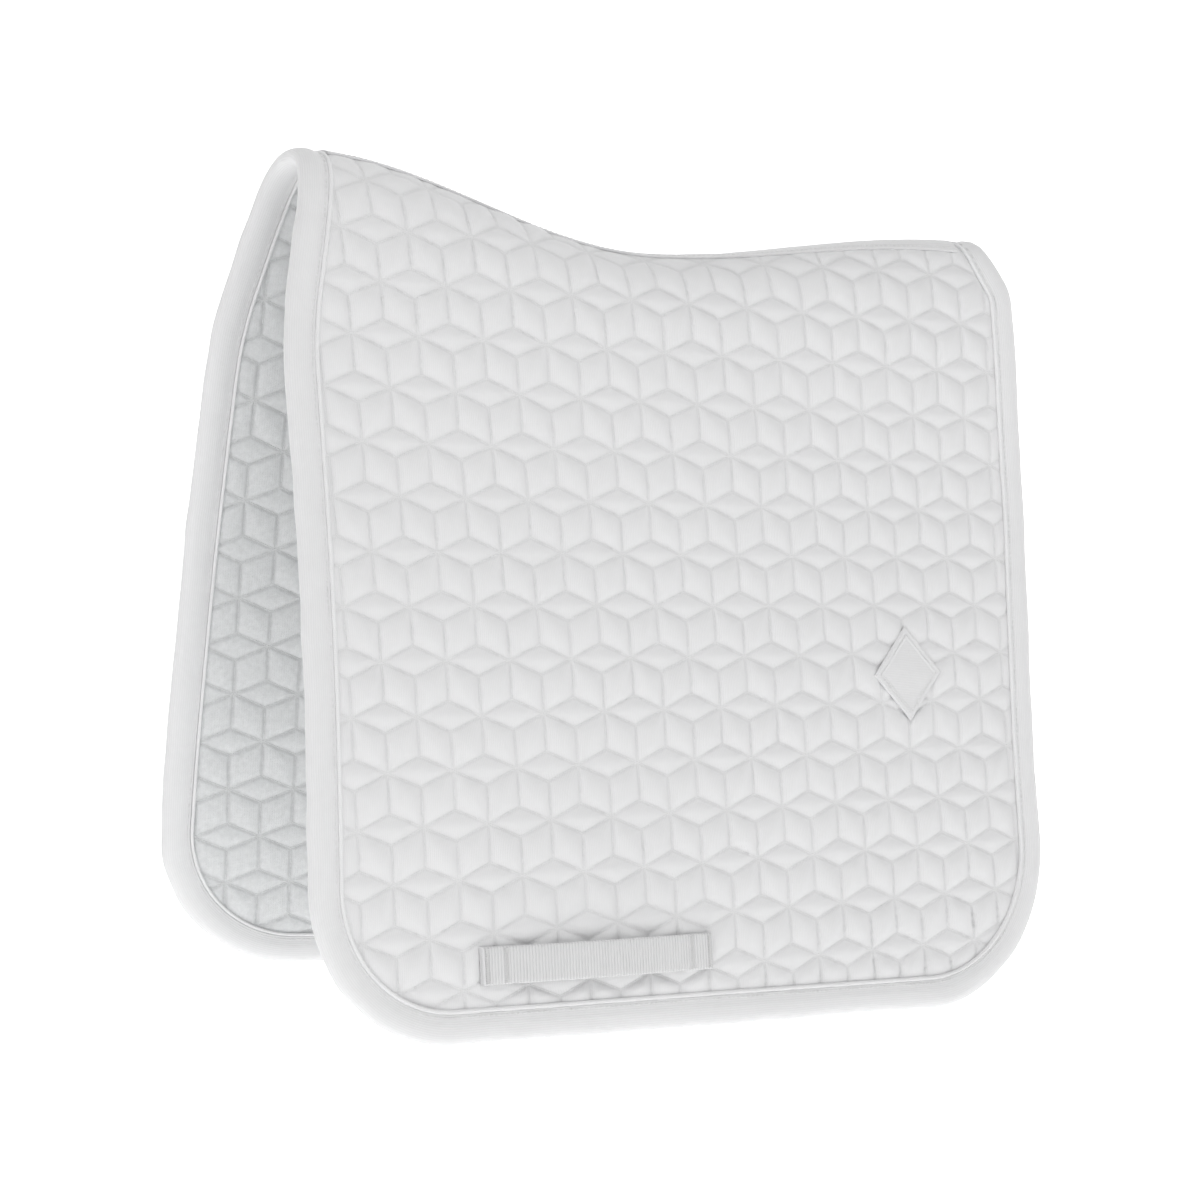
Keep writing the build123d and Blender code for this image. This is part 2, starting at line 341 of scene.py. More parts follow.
def mesh_object(name, points, faces, uvs, materials=(), face_slots=None, sharp=SHARP):
    mesh = bpy.data.meshes.new(name)
    faces = np.asarray(faces)
    count = faces.shape[1]
    mesh.vertices.add(len(points))
    mesh.vertices.foreach_set("co", np.asarray(points, np.float32).ravel())
    mesh.loops.add(faces.size)
    mesh.loops.foreach_set("vertex_index", faces.ravel().astype(np.int32))
    mesh.polygons.add(len(faces))
    mesh.polygons.foreach_set("loop_start", np.arange(0, faces.size, count, dtype=np.int32))
    mesh.polygons.foreach_set("use_smooth", np.ones(len(faces), bool))
    mesh.update(calc_edges=True)
    layer = mesh.uv_layers.new(name="Cloth")
    layer.data.foreach_set("uv", np.asarray(uvs, np.float32)[faces.ravel()].ravel())
    for material in materials:
        mesh.materials.append(material)
    if face_slots is not None:
        mesh.polygons.foreach_set("material_index", np.asarray(face_slots, np.int32))
    if mesh.validate():
        raise RuntimeError(f"{name} has faces that are not valid")
    mesh.set_sharp_from_angle(angle=math.radians(sharp))
    made = bpy.data.objects.new(name, mesh)
    bpy.context.scene.collection.objects.link(made)
    return made


def grid_faces(rows, cols, start=0, flip=False):
    i, j = np.meshgrid(np.arange(rows - 1), np.arange(cols - 1), indexing="ij")
    a = (start + i * cols + j).ravel()
    quad = np.stack([a, a + 1, a + cols + 1, a + cols], axis=1)
    return quad[:, ::-1] if flip else quad


def slab(name, top, bottom, uv_top, uv_bottom, side, material):
    """Closed cloth between two grids of points with the same rows and columns."""
    rows, cols = top.shape[:2]
    count = rows * cols
    points = np.concatenate([mirrored(top.reshape(-1, 3), side), mirrored(bottom.reshape(-1, 3), side)])
    flip = side < 0
    faces = [grid_faces(rows, cols, 0, flip), grid_faces(rows, cols, count, not flip)]
    ring = np.concatenate([
        np.arange(cols - 1),
        np.arange(rows - 1) * cols + cols - 1,
        (rows - 1) * cols + np.arange(cols - 1, 0, -1),
        np.arange(rows - 1, 0, -1) * cols,
    ])
    after = np.roll(ring, -1)
    rim = np.stack([after, ring, ring + count, after + count], axis=1)
    faces.append(rim[:, ::-1] if flip else rim)
    uvs = np.concatenate([uv_top.reshape(-1, 2), uv_bottom.reshape(-1, 2)])
    return mesh_object(name, points, np.concatenate(faces), uvs, [material])


def sweep(name, rings, uvs, side, material, sharp=SHARP):
    """Closed tube through rings of points, with flat ends."""
    stations, around = rings.shape[:2]
    points = mirrored(rings.reshape(-1, 3), side)
    i, j = np.meshgrid(np.arange(stations - 1), np.arange(around), indexing="ij")
    a = (i * around + j).ravel()
    b = (i * around + (j + 1) % around).ravel()
    quads = np.stack([a, b, b + around, a + around], axis=1)
    if side < 0:
        quads = quads[:, ::-1]
    made = mesh_object(name, points, quads, uvs.reshape(-1, 2), [material], sharp=sharp)
    cap_ends(made, stations, around)
    return made


def end_strips(ring):
    """Quads that close an even ring of vertices."""
    last = len(ring) - 1
    return [(ring[k], ring[k + 1], ring[last - 1 - k], ring[last - k]) for k in range(len(ring) // 2 - 1)]


def cap_ends(made, stations, around):
    bm = bmesh.new()
    bm.from_mesh(made.data)
    bm.verts.ensure_lookup_table()
    layer = bm.loops.layers.uv.active
    for first in (0, (stations - 1) * around):
        ring = [bm.verts[first + k] for k in range(around)]
        if around % 2 == 0:
            strips = end_strips(ring)
        else:
            strips = [tuple(ring)]
        for strip in strips:
            face = bm.faces.new(strip)
            face.smooth = True
            for loop in face.loops:
                other = next((l for l in loop.vert.link_loops if l.face is not face), None)
                if other is not None:
                    loop[layer].uv = other[layer].uv
    bmesh.ops.recalc_face_normals(bm, faces=bm.faces)
    bm.to_mesh(made.data)
    bm.free()
    made.data.set_sharp_from_angle(angle=math.radians(SHARP))


# ---- the edge of the pad, from the front of the spine round the hem to the rear of the spine ----

EDGE_PITCH = 0.0045


class Edge:
    """Stations along the pad's edge. A point is (run along the edge, depth inwards, height off the middle)."""

    def __init__(self, side):
        self.seed = 0 if side > 0 else 40
        ring = rounded_outline(0.0)
        front, rear, _ = outline_branches(0.0)
        crest = np.linspace(-1, -0.02, 50)
        rows = []
        for w in crest:
            rows.append((edge_x(front, np.array([0.28]), w)[0], w))
        inside = ring[ring[:, 1] < FOLD_Z - 0.001]
        rows += [(x, (FOLD_Z - z) / WALL_STEP) for x, z in inside]
        for w in crest[::-1]:
            rows.append((edge_x(rear, np.array([-0.32]), w)[0], w))
        rows = np.array(rows)
        places = pad_point(rows[:, 0], rows[:, 1], 0.0, self.seed)
        run = np.concatenate([[0], np.linalg.norm(np.diff(places, axis=0), axis=1).cumsum()])
        self.length = run[-1]
        self.count = int(self.length / EDGE_PITCH) + 1
        self.run = np.linspace(0, self.length, self.count)
        self.x = np.interp(self.run, run, rows[:, 0])
        self.w = np.interp(self.run, run, rows[:, 1])
        middle = pad_point(self.x, self.w, 0.0, self.seed)
        tangent = np.gradient(middle, axis=0)
        h = 0.0008
        sx = (pad_point(self.x + h, self.w, 0.0, self.seed) - pad_point(self.x - h, self.w, 0.0, self.seed)) / (2 * h)
        step = 0.01
        low = np.clip(self.w - step, -1, None)
        high = self.w + step
        sw = (pad_point(self.x, high, 0.0, self.seed) - pad_point(self.x, low, 0.0, self.seed)) / (high - low)[:, None]
        normal = pad_point(self.x, self.w, 0.001, self.seed) - middle
        across = np.cross(normal, tangent)
        across /= np.linalg.norm(across, axis=1)[:, None]
        towards = pad_point(self.x * 0.9, np.clip(self.w * 0.9, -1, None), 0.0, self.seed) - middle
        across *= np.sign((across * towards).sum(1))[:, None]
        g11, g12, g22 = (sx * sx).sum(1), (sx * sw).sum(1), (sw * sw).sum(1)
        r1, r2 = (across * sx).sum(1), (across * sw).sum(1)
        det = g11 * g22 - g12 * g12
        self.a = (r1 * g22 - r2 * g12) / det
        self.b = (g11 * r2 - g12 * r1) / det
        soft = np.ones(9) / 9
        for name in ("a", "b"):
            value = getattr(self, name)
            padded = np.concatenate([np.full(4, value[0]), value, np.full(4, value[-1])])
            setattr(self, name, np.convolve(padded, soft, "valid"))
        near_end = smooth(np.minimum(self.run, self.length - self.run) / 0.02)
        self.b *= near_end

    def point(self, run, depth, out):
        run, depth, out = np.broadcast_arrays(run, depth, out)
        x = np.interp(run, self.run, self.x) + np.interp(run, self.run, self.a) * depth
        w = np.interp(run, self.run, self.w) + np.interp(run, self.run, self.b) * depth
        return pad_point(x, np.maximum(w, -1), out, self.seed)


EDGES = {}


def pad_edge(side):
    if side not in EDGES:
        EDGES[side] = Edge(side)
    return EDGES[side]


SIDES = ((1, "left"), (-1, "right"))
PHASES = {1: (0.0, 0.0), -1: (0.75, -0.22)}


def ride_side(piece):
    """Bakes the piece's transform into its mesh."""
    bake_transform(piece)


# ---- shader node groups --------------------------------------------------------------------------


class Nodes:
    """A short way to lay out the nodes of a material or a group."""

    def __init__(self, tree):
        self.tree = tree
        self.column = 0

    def add(self, kind):
        node = self.tree.nodes.new(kind)
        node.location = (self.column * 180, -(len(self.tree.nodes) % 6) * 190)
        if len(self.tree.nodes) % 6 == 0:
            self.column += 1
        return node

    def link(self, value, socket):
        if isinstance(value, bpy.types.NodeSocket):
            self.tree.links.new(value, socket)
        else:
            socket.default_value = value

    def math(self, operation, a, b=None, c=None, clamp=False):
        node = self.add("ShaderNodeMath")
        node.operation = operation
        node.use_clamp = clamp
        for value, socket in zip((a, b, c), node.inputs):
            if value is not None:
                self.link(value, socket)
        return node.outputs[0]

    def wave(self, run, pitch, turn=TURN):
        """Sine of a length in metres, once round for every pitch."""
        return self.math("SINE", self.math("MULTIPLY", self.math("DIVIDE", run, pitch), turn))

    def span(self, value, low, high, to_low=0.0, to_high=1.0, kind="SMOOTHSTEP"):
        node = self.add("ShaderNodeMapRange")
        node.interpolation_type = kind
        for item, socket in zip((value, low, high, to_low, to_high), node.inputs):
            self.link(item, socket)
        return node.outputs[0]

    def noise(self, vector, scale, detail=2.0, rough=0.5, distort=0.0):
        node = self.add("ShaderNodeTexNoise")
        self.link(vector, node.inputs["Vector"])
        self.link(scale, node.inputs["Scale"])
        node.inputs["Detail"].default_value = detail
        node.inputs["Roughness"].default_value = rough
        node.inputs["Distortion"].default_value = distort
        return node.outputs["Fac"]

    def split(self, vector):
        node = self.add("ShaderNodeSeparateXYZ")
        self.link(vector, node.inputs[0])
        return node.outputs[0], node.outputs[1]

    def uv(self):
        node = self.add("ShaderNodeUVMap")
        node.uv_map = "Cloth"
        return node.outputs[0]

    def group(self, made, **values):
        node = self.add("ShaderNodeGroup")
        node.node_tree = made
        for name, value in values.items():
            self.link(value, node.inputs[name.replace("_", " ")])
        return node

    def tint(self, colour, factor):
        """Colour multiplied by a value."""
        node = self.add("ShaderNodeVectorMath")
        node.operation = "SCALE"
        self.link(colour, node.inputs[0])
        self.link(factor, node.inputs["Scale"])
        return node.outputs[0]

    def mix(self, a, b, factor):
        node = self.add("ShaderNodeMix")
        node.data_type = "RGBA"
        self.link(factor, node.inputs[0])
        self.link(a, node.inputs[6])
        self.link(b, node.inputs[7])
        return node.outputs[2]

    def bump(self, height, depth, strength=1.0, normal=None):
        node = self.add("ShaderNodeBump")
        node.inputs["Strength"].default_value = strength
        node.inputs["Distance"].default_value = depth
        self.link(height, node.inputs["Height"])
        if normal is not None:
            self.link(normal, node.inputs["Normal"])
        return node.outputs[0]


def new_group(name, inputs, outputs):
    tree = bpy.data.node_groups.new(name, "ShaderNodeTree")
    for label, kind, default in inputs:
        socket = tree.interface.new_socket(label, in_out="INPUT", socket_type=kind)
        if default is not None:
            socket.default_value = default
    for label, kind in outputs:
        tree.interface.new_socket(label, in_out="OUTPUT", socket_type=kind)
    nodes = Nodes(tree)
    start, end = nodes.add("NodeGroupInput"), nodes.add("NodeGroupOutput")
    return tree, nodes, start, end


FLOAT, VECTOR = "NodeSocketFloat", "NodeSocketVector"


def weave_group():
    """Over-and-under weave of warp and weft, with uneven yarns."""
    found = bpy.data.node_groups.get("Fine Weave")
    if found:
        return found
    tree, n, start, end = new_group(
        "Fine Weave",
        [
            ("Cloth", VECTOR, None),
            ("Warp Pitch", FLOAT, 0.0013),
            ("Weft Pitch", FLOAT, 0.0010),
            ("Unevenness", FLOAT, 0.5),
        ],
        [("Height", FLOAT), ("Shade", FLOAT)],
    )
    cloth = start.outputs["Cloth"]
    u, v = n.split(cloth)
    wander = n.noise(cloth, 260.0, 2.0)
    drift = n.math("MULTIPLY", start.outputs["Unevenness"], 0.0009)
    wander = n.math("MULTIPLY", n.math("SUBTRACT", wander, 0.5), drift)
    warp = n.wave(n.math("ADD", u, wander), start.outputs["Warp Pitch"])
    weft = n.wave(n.math("ADD", v, wander), start.outputs["Weft Pitch"])
    cross = n.math("MULTIPLY", warp, weft)
    ribs = n.math("MULTIPLY_ADD", warp, 0.30, 0.5)
    height = n.math("MULTIPLY_ADD", cross, 0.20, ribs, clamp=True)
    slub = n.noise(cloth, 900.0, 2.0, 0.6)
    height = n.math("ADD", n.math("MULTIPLY", height, 0.75), n.math("MULTIPLY", slub, 0.25))
    n.link(height, end.inputs["Height"])
    n.link(n.span(height, 0.2, 0.8), end.inputs["Shade"])
    return tree


def rib_group():
    """Raised cords of woven tape, across one direction of the cloth."""
    found = bpy.data.node_groups.get("Tape Ribs")
    if found:
        return found
    tree, n, start, end = new_group(
        "Tape Ribs",
        [("Cloth", VECTOR, None), ("Pitch", FLOAT, 0.0015), ("Along", FLOAT, 0.0), ("Yarn Pitch", FLOAT, 0.0008)],
        [("Height", FLOAT), ("Shade", FLOAT)],
    )
    cloth = start.outputs["Cloth"]
    u, v = n.split(cloth)
    along = start.outputs["Along"]
    across = n.math("ADD", n.math("MULTIPLY", v, n.math("SUBTRACT", 1.0, along)), n.math("MULTIPLY", u, along))
    other = n.math("ADD", n.math("MULTIPLY", u, n.math("SUBTRACT", 1.0, along)), n.math("MULTIPLY", v, along))
    wander = n.math("MULTIPLY", n.math("SUBTRACT", n.noise(cloth, 180.0, 2.0), 0.5), 0.0004)
    rib = n.wave(n.math("ADD", across, wander), start.outputs["Pitch"], math.pi)
    rib = n.math("POWER", n.math("ABSOLUTE", rib), 0.6)
    yarn = n.wave(n.math("ADD", other, n.math("MULTIPLY", across, 0.5)), start.outputs["Yarn Pitch"])
    height = n.math("ADD", n.math("MULTIPLY", rib, 0.8), n.math("MULTIPLY", yarn, 0.10))
    height = n.math("ADD", height, n.math("MULTIPLY", n.noise(cloth, 1200.0, 2.0), 0.12))
    n.link(height, end.inputs["Height"])
    n.link(n.span(height, 0.25, 0.85), end.inputs["Shade"])
    return tree


def tone_group():
    """Slow changes of tone over the cloth, with a little soiling and fine lint."""
    found = bpy.data.node_groups.get("Cloth Tone")
    if found:
        return found
    tree, n, start, end = new_group(
        "Cloth Tone",
        [("Cloth", VECTOR, None), ("Drift", FLOAT, 0.03), ("Mottle", FLOAT, 0.03), ("Mottle Size", FLOAT, 0.012)],
        [("Tone", FLOAT), ("Lint", FLOAT)],
    )
    cloth = start.outputs["Cloth"]
    slow = n.math("SUBTRACT", n.noise(cloth, 7.0, 3.0), 0.5)
    blotch = n.math("SUBTRACT", n.noise(cloth, n.math("DIVIDE", 1.0, start.outputs["Mottle Size"]), 4.0, 0.6), 0.5)
    tone = n.math("MULTIPLY_ADD", slow, n.math("MULTIPLY", start.outputs["Drift"], 2.0), 1.0)
    tone = n.math("ADD", tone, n.math("MULTIPLY", blotch, n.math("MULTIPLY", start.outputs["Mottle"], 2.0)))
    n.link(tone, end.inputs["Tone"])
    n.link(n.span(n.noise(cloth, 700.0, 4.0, 0.7), 0.52, 0.78), end.inputs["Lint"])
    return tree


def seam_group():
    """Quilting seams marked out on the cloth: the groove, and the thread lying in it. The materials also darken the
    cloth's colour with the groove mask as painted shade.
    """
    found = bpy.data.node_groups.get("Quilt Seams")
    if found:
        return found
    tree, n, start, end = new_group(
        "Quilt Seams",
        [
            ("Cloth", VECTOR, None),
            ("Groove Width", FLOAT, 0.0022),
            ("Thread Width", FLOAT, 0.00042),
            ("Stitch Length", FLOAT, 0.0034),
        ],
        [("Groove", FLOAT), ("Thread", FLOAT), ("Height", FLOAT)],
    )
    u, v = n.split(start.outputs["Cloth"])
    wide, row = BLOCK_WIDE, BLOCK_ROW

    def folded(value, period):
        turns = n.math("ROUND", n.math("DIVIDE", value, period))
        return n.math("ABSOLUTE", n.math("SUBTRACT", value, n.math("MULTIPLY", turns, period)))

    x, y = folded(u, wide), folded(v, 2 * row)
    lean = n.math("MULTIPLY", x, LID_SLOPE)
    above = n.math("SUBTRACT", y, lean)
    near = n.math("MULTIPLY", n.math("ABSOLUTE", above), LID_COS)
    far = n.math("MULTIPLY", n.math("ABSOLUTE", n.math("SUBTRACT", above, BLOCK_UPRIGHT)), LID_COS)
    slanted = n.math("MINIMUM", near, far)
    first = n.math("ADD", x, n.math("MULTIPLY", n.math("GREATER_THAN", y, BLOCK_UPRIGHT), 1.0))
    second = n.math("ADD", n.math("SUBTRACT", wide / 2, x), n.math("LESS_THAN", y, BLOCK_LID / 2))
    upright = n.math("MINIMUM", first, second)
    pitch = start.outputs["Stitch Length"]

    def dashes(run):
        place = n.math("FRACT", n.math("DIVIDE", run, pitch))
        return n.span(n.math("ABSOLUTE", n.math("SUBTRACT", place, 0.5)), 0.44, 0.34)

    width = start.outputs["Thread Width"]
    core = n.math("MULTIPLY", width, 0.4)
    along_slant = n.math("DIVIDE", x, LID_COS)
    thread = n.math(
        "MAXIMUM",
        n.math("MULTIPLY", n.span(upright, width, core), dashes(y)),
        n.math("MULTIPLY", n.span(slanted, width, core), dashes(along_slant)),
    )
    groove = n.span(n.math("MINIMUM", slanted, upright), start.outputs["Groove Width"], 0.0)
    n.link(groove, end.inputs["Groove"])
    n.link(thread, end.inputs["Thread"])
    n.link(n.math("SUBTRACT", n.math("MULTIPLY", thread, 0.55), groove), end.inputs["Height"])
    return tree


def cloth_material(name, colour, roughness, sheen, build, sheen_rough=0.5):
    """A cloth: build lays out the nodes and gives back a tone, a roughness and a normal."""
    found = bpy.data.materials.get(name)
    if found:
        return found
    material = bpy.data.materials.new(name)
    material.use_nodes = True
    tree = material.node_tree
    tree.nodes.clear()
    n = Nodes(tree)
    tone, rough, normal = build(n, n.uv())
    shader = n.add("ShaderNodeBsdfPrincipled")
    output = n.add("ShaderNodeOutputMaterial")
    base = n.add("ShaderNodeRGB")
    base.outputs[0].default_value = (*colour, 1.0)
    n.link(n.tint(base.outputs[0], tone), shader.inputs["Base Color"])
    n.link(rough if rough is not None else roughness, shader.inputs["Roughness"])
    n.link(normal, shader.inputs["Normal"])
    shader.inputs["Sheen Weight"].default_value = sheen
    shader.inputs["Sheen Roughness"].default_value = sheen_rough
    shader.inputs["Specular IOR Level"].default_value = 0.25
    tree.links.new(shader.outputs[0], output.inputs[0])
    material.diffuse_color = (*colour, 1.0)
    return material


def quilted_cotton():
    def build(n, cloth):
        weave = n.group(weave_group(), Cloth=cloth, Warp_Pitch=0.0014, Weft_Pitch=0.0011, Unevenness=0.6)
        seams = n.group(seam_group(), Cloth=cloth, Groove_Width=0.0026, Thread_Width=0.00045, Stitch_Length=0.0036)
        tone = n.group(tone_group(), Cloth=cloth, Drift=0.015, Mottle=0.02, Mottle_Size=0.01)
        shade = n.math("MULTIPLY", tone.outputs["Tone"], n.span(weave.outputs["Shade"], 0.0, 1.0, 0.965, 1.0, "LINEAR"))
        # Painted shade: the colour darkens by up to 5% in the quilting seam grooves.
        shade = n.math("MULTIPLY", shade, n.span(seams.outputs["Groove"], 0.0, 1.0, 1.0, 0.95, "LINEAR"))
        shade = n.math("ADD", shade, n.math("MULTIPLY", seams.outputs["Thread"], 0.05))
        rough = n.span(weave.outputs["Shade"], 0.0, 1.0, 0.95, 0.84, "LINEAR")
        normal = n.bump(weave.outputs["Height"], 0.00022, 0.55)
        normal = n.bump(seams.outputs["Height"], 0.0006, 0.6, normal)
        normal = n.bump(tone.outputs["Lint"], 0.00012, 0.35, normal)
        return shade, rough, normal

    s = bpy.context.scene.saddle_pad
    return cloth_material("Quilted Cotton", tuple(s.cotton_colour), 0.9, 0.25, build)


def brushed_lining():
    def build(n, cloth):
        weave = n.group(weave_group(), Cloth=cloth, Warp_Pitch=0.0019, Weft_Pitch=0.0019, Unevenness=1.6)
        seams = n.group(seam_group(), Cloth=cloth, Groove_Width=0.0030, Thread_Width=0.0005, Stitch_Length=0.0036)
        tone = n.group(tone_group(), Cloth=cloth, Drift=0.04, Mottle=0.16, Mottle_Size=0.0045)
        nap = n.noise(cloth, 1500.0, 5.0, 0.75)
        shade = n.math("MULTIPLY", tone.outputs["Tone"], n.span(nap, 0.35, 0.7, 0.92, 1.03, "LINEAR"))
        # Painted shade: the colour darkens by up to 10% in the quilting seam grooves.
        shade = n.math("MULTIPLY", shade, n.span(seams.outputs["Groove"], 0.0, 1.0, 1.0, 0.90, "LINEAR"))
        shade = n.math("ADD", shade, n.math("MULTIPLY", seams.outputs["Thread"], 0.08))
        rough = n.span(nap, 0.3, 0.7, 1.0, 0.9, "LINEAR")
        normal = n.bump(n.math("ADD", nap, n.math("MULTIPLY", weave.outputs["Height"], 0.4)), 0.0005, 0.6)
        normal = n.bump(seams.outputs["Height"], 0.0010, 0.7, normal)
        normal = n.bump(tone.outputs["Lint"], 0.0003, 0.5, normal)
        return shade, rough, normal

    s = bpy.context.scene.saddle_pad
    # The lining colour is greyer than the cotton, partly the brushed fabric's own tone and partly painted shade.
    return cloth_material("Brushed Lining", tuple(s.lining_colour_and_shade), 0.95, 0.5, build, 0.4)


def tape_material(name, colour, pitch, along, depth, sheen=0.3, yarn=0.0008, contrast=0.06):
    def build(n, cloth):
        ribs = n.group(rib_group(), Cloth=cloth, Pitch=pitch, Along=along, Yarn_Pitch=yarn)
        tone = n.group(tone_group(), Cloth=cloth, Drift=0.02, Mottle=0.025, Mottle_Size=0.008)
        valleys = n.span(ribs.outputs["Shade"], 0.0, 1.0, 1.0 - contrast, 1.0, "LINEAR")
        shade = n.math("MULTIPLY", tone.outputs["Tone"], valleys)
        rough = n.span(ribs.outputs["Shade"], 0.0, 1.0, 0.9, 0.74, "LINEAR")
        normal = n.bump(ribs.outputs["Height"], depth, 0.6)
        normal = n.bump(tone.outputs["Lint"], 0.0001, 0.3, normal)
        return shade, rough, normal

    return cloth_material(name, colour, 0.85, sheen, build)


def patch_twill():
    def build(n, cloth):
        u, v = n.split(cloth)
        lines = n.wave(n.math("ADD", u, v), 0.0017)
        cross = n.wave(n.math("SUBTRACT", u, v), 0.0011)
        weave = n.math("MULTIPLY", n.math("MULTIPLY", lines, cross), 0.15)
        height = n.math("ADD", n.math("MULTIPLY_ADD", lines, 0.35, 0.5), weave)
        tone = n.group(tone_group(), Cloth=cloth, Drift=0.02, Mottle=0.03, Mottle_Size=0.006)
        shade = n.math("MULTIPLY", tone.outputs["Tone"], n.span(height, 0.1, 0.9, 0.95, 1.0, "LINEAR"))
        rough = n.span(height, 0.1, 0.9, 0.86, 0.72, "LINEAR")
        normal = n.bump(height, 0.0002, 0.5)
        normal = n.bump(tone.outputs["Lint"], 0.0001, 0.3, normal)
        return shade, rough, normal

    s = bpy.context.scene.saddle_pad
    return cloth_material("Patch Twill", tuple(s.patch_colour), 0.8, 0.3, build)


def sewing_thread():
    def build(n, cloth):
        u, v = n.split(cloth)
        twist = n.wave(n.math("ADD", u, n.math("MULTIPLY", v, 1.5)), 0.0006)
        tone = n.group(tone_group(), Cloth=cloth, Drift=0.02, Mottle=0.05, Mottle_Size=0.003)
        shade = n.math("MULTIPLY", tone.outputs["Tone"], n.span(twist, -1.0, 1.0, 0.93, 1.0, "LINEAR"))
        rough = n.span(twist, -1.0, 1.0, 0.7, 0.5, "LINEAR")
        normal = n.bump(twist, 0.00008, 0.6)
        return shade, rough, normal

    s = bpy.context.scene.saddle_pad
    return cloth_material("Sewing Thread", tuple(s.thread_colour), 0.6, 0.2, build)


def binding_tape():
    s = bpy.context.scene.saddle_pad
    return tape_material("Binding Tape", tuple(s.binding_colour), 0.0016, 0.0, 0.00028, contrast=0.05)


def piping_cord():
    s = bpy.context.scene.saddle_pad
    return tape_material("Piping Cord", tuple(s.piping_colour), 0.0012, 1.0, 0.00012, contrast=0.04)


def spine_webbing():
    s = bpy.context.scene.saddle_pad
    return tape_material("Spine Webbing", tuple(s.binding_colour), 0.0018, 0.0, 0.0003, contrast=0.06)


def keeper_webbing():
    s = bpy.context.scene.saddle_pad
    return tape_material("Keeper Webbing", tuple(s.webbing_colour), 0.0024, 1.0, 0.0002, contrast=0.12, yarn=0.0012)


# ---- the quilted panels --------------------------------------------------------------------------

KEEPER = dict(front=0.202, rear=0.012, top=-0.458, slope=0.055, tall=0.025, end=0.024)
PATCH = dict(x=-0.186, z=-0.298, wide=0.0325, tall=0.035)


def keeper_top(x):
    return KEEPER["top"] - KEEPER["slope"] * (KEEPER["front"] - x)


def keeper_lift(x):
    span = KEEPER["front"] - KEEPER["rear"] - 2 * KEEPER["end"]
    along = np.clip((KEEPER["front"] - KEEPER["end"] - x) / span, 0, 1)
    return bpy.context.scene.saddle_pad.keeper_bow * np.sin(np.pi * along) ** 0.9


def sewn_down(x, z, side):
    """How far the keeper's ends and the patch press the quilting flat, 0 to 1."""
    reach = 0.003
    top = keeper_top(x)
    dz = np.maximum(z - top, top - KEEPER["tall"] - z)
    ends = np.minimum(
        np.maximum(x - KEEPER["front"], KEEPER["front"] - KEEPER["end"] - 0.006 - x),
        np.maximum(KEEPER["rear"] - x, x - KEEPER["rear"] - KEEPER["end"] - 0.006),
    )
    pressed = 1 - smooth(np.maximum(dz, ends) / reach)
    if side > 0:
        size = np.abs(x - PATCH["x"]) / PATCH["wide"] + np.abs(z - PATCH["z"]) / PATCH["tall"]
        pressed = np.maximum(pressed, 1 - smooth((size - 1.0) * 0.024 / reach))
    return pressed


def field_grid(inset, pitch):
    """Rows from the spine to the hem, columns from rear to front, all inside the binding."""
    front, rear, line = outline_branches(inset)
    crest_rows = int(0.105 / pitch)
    wall_rows = int(0.485 / pitch)
    cols = int(0.626 / pitch)
    g = np.linspace(0, 1, cols)
    xs, ws = [], []
    for w in np.linspace(-1, 0, crest_rows, endpoint=False):
        a = edge_x(rear, np.array([-0.30]), w)[0]
        b = edge_x(front, np.array([0.28]), w)[0]
        xs.append(a + (b - a) * g)
        ws.append(np.full(cols, w))
    limits = []
    for branch in (rear, front):
        wall = branch[branch[:, 1] < FOLD_Z + 0.01]
        share = (FOLD_Z - wall[:, 1]) / (FOLD_Z - line(wall[:, 0]))
        order = np.argsort(share)
        limits.append((share[order], wall[order, 0]))
    for f in np.linspace(0, 1, wall_rows):
        a, b = (np.interp(f, *limit) for limit in limits)
        x = a + (b - a) * g
        xs.append(x)
        ws.append(f * (FOLD_Z - line(x)) / WALL_STEP)
    return np.array(xs), np.array(ws)


def panel_data(side):
    """Grid, cloth coordinates, pillow height and edge depth for one side of the pad."""
    s = bpy.context.scene.saddle_pad
    seed = 0 if side > 0 else 40
    x, w = field_grid(PANEL_INSET, s.mesh_pitch)
    middle = pad_point(x, w, 0.0, seed)
    z = np.where(w >= 0, FOLD_Z - WALL_STEP * w, middle[..., 2])
    u, v = quilt_uv(x, w, z, PHASES[side])
    wobble_u = value_noise(u, v, 0.05, 21 + seed) * 0.0006
    wobble_v = value_noise(u, v, 0.05, 22 + seed) * 0.0006
    u, v = u + wobble_u, v + wobble_v
    pillow, seam = quilt_height(u, v)
    depth = outline_depth(x, z, rounded_outline(0.0)[::2])
    from_spine = np.where(w >= 0, 1.0, (1 + w) * crest_length(x))
    return dict(x=x, w=w, z=z, u=u, v=v, pillow=pillow, seam=seam, depth=depth, spine=from_spine, seed=seed)


PANELS = {}


def panel(side):
    if side not in PANELS:
        PANELS[side] = panel_data(side)
    return PANELS[side]


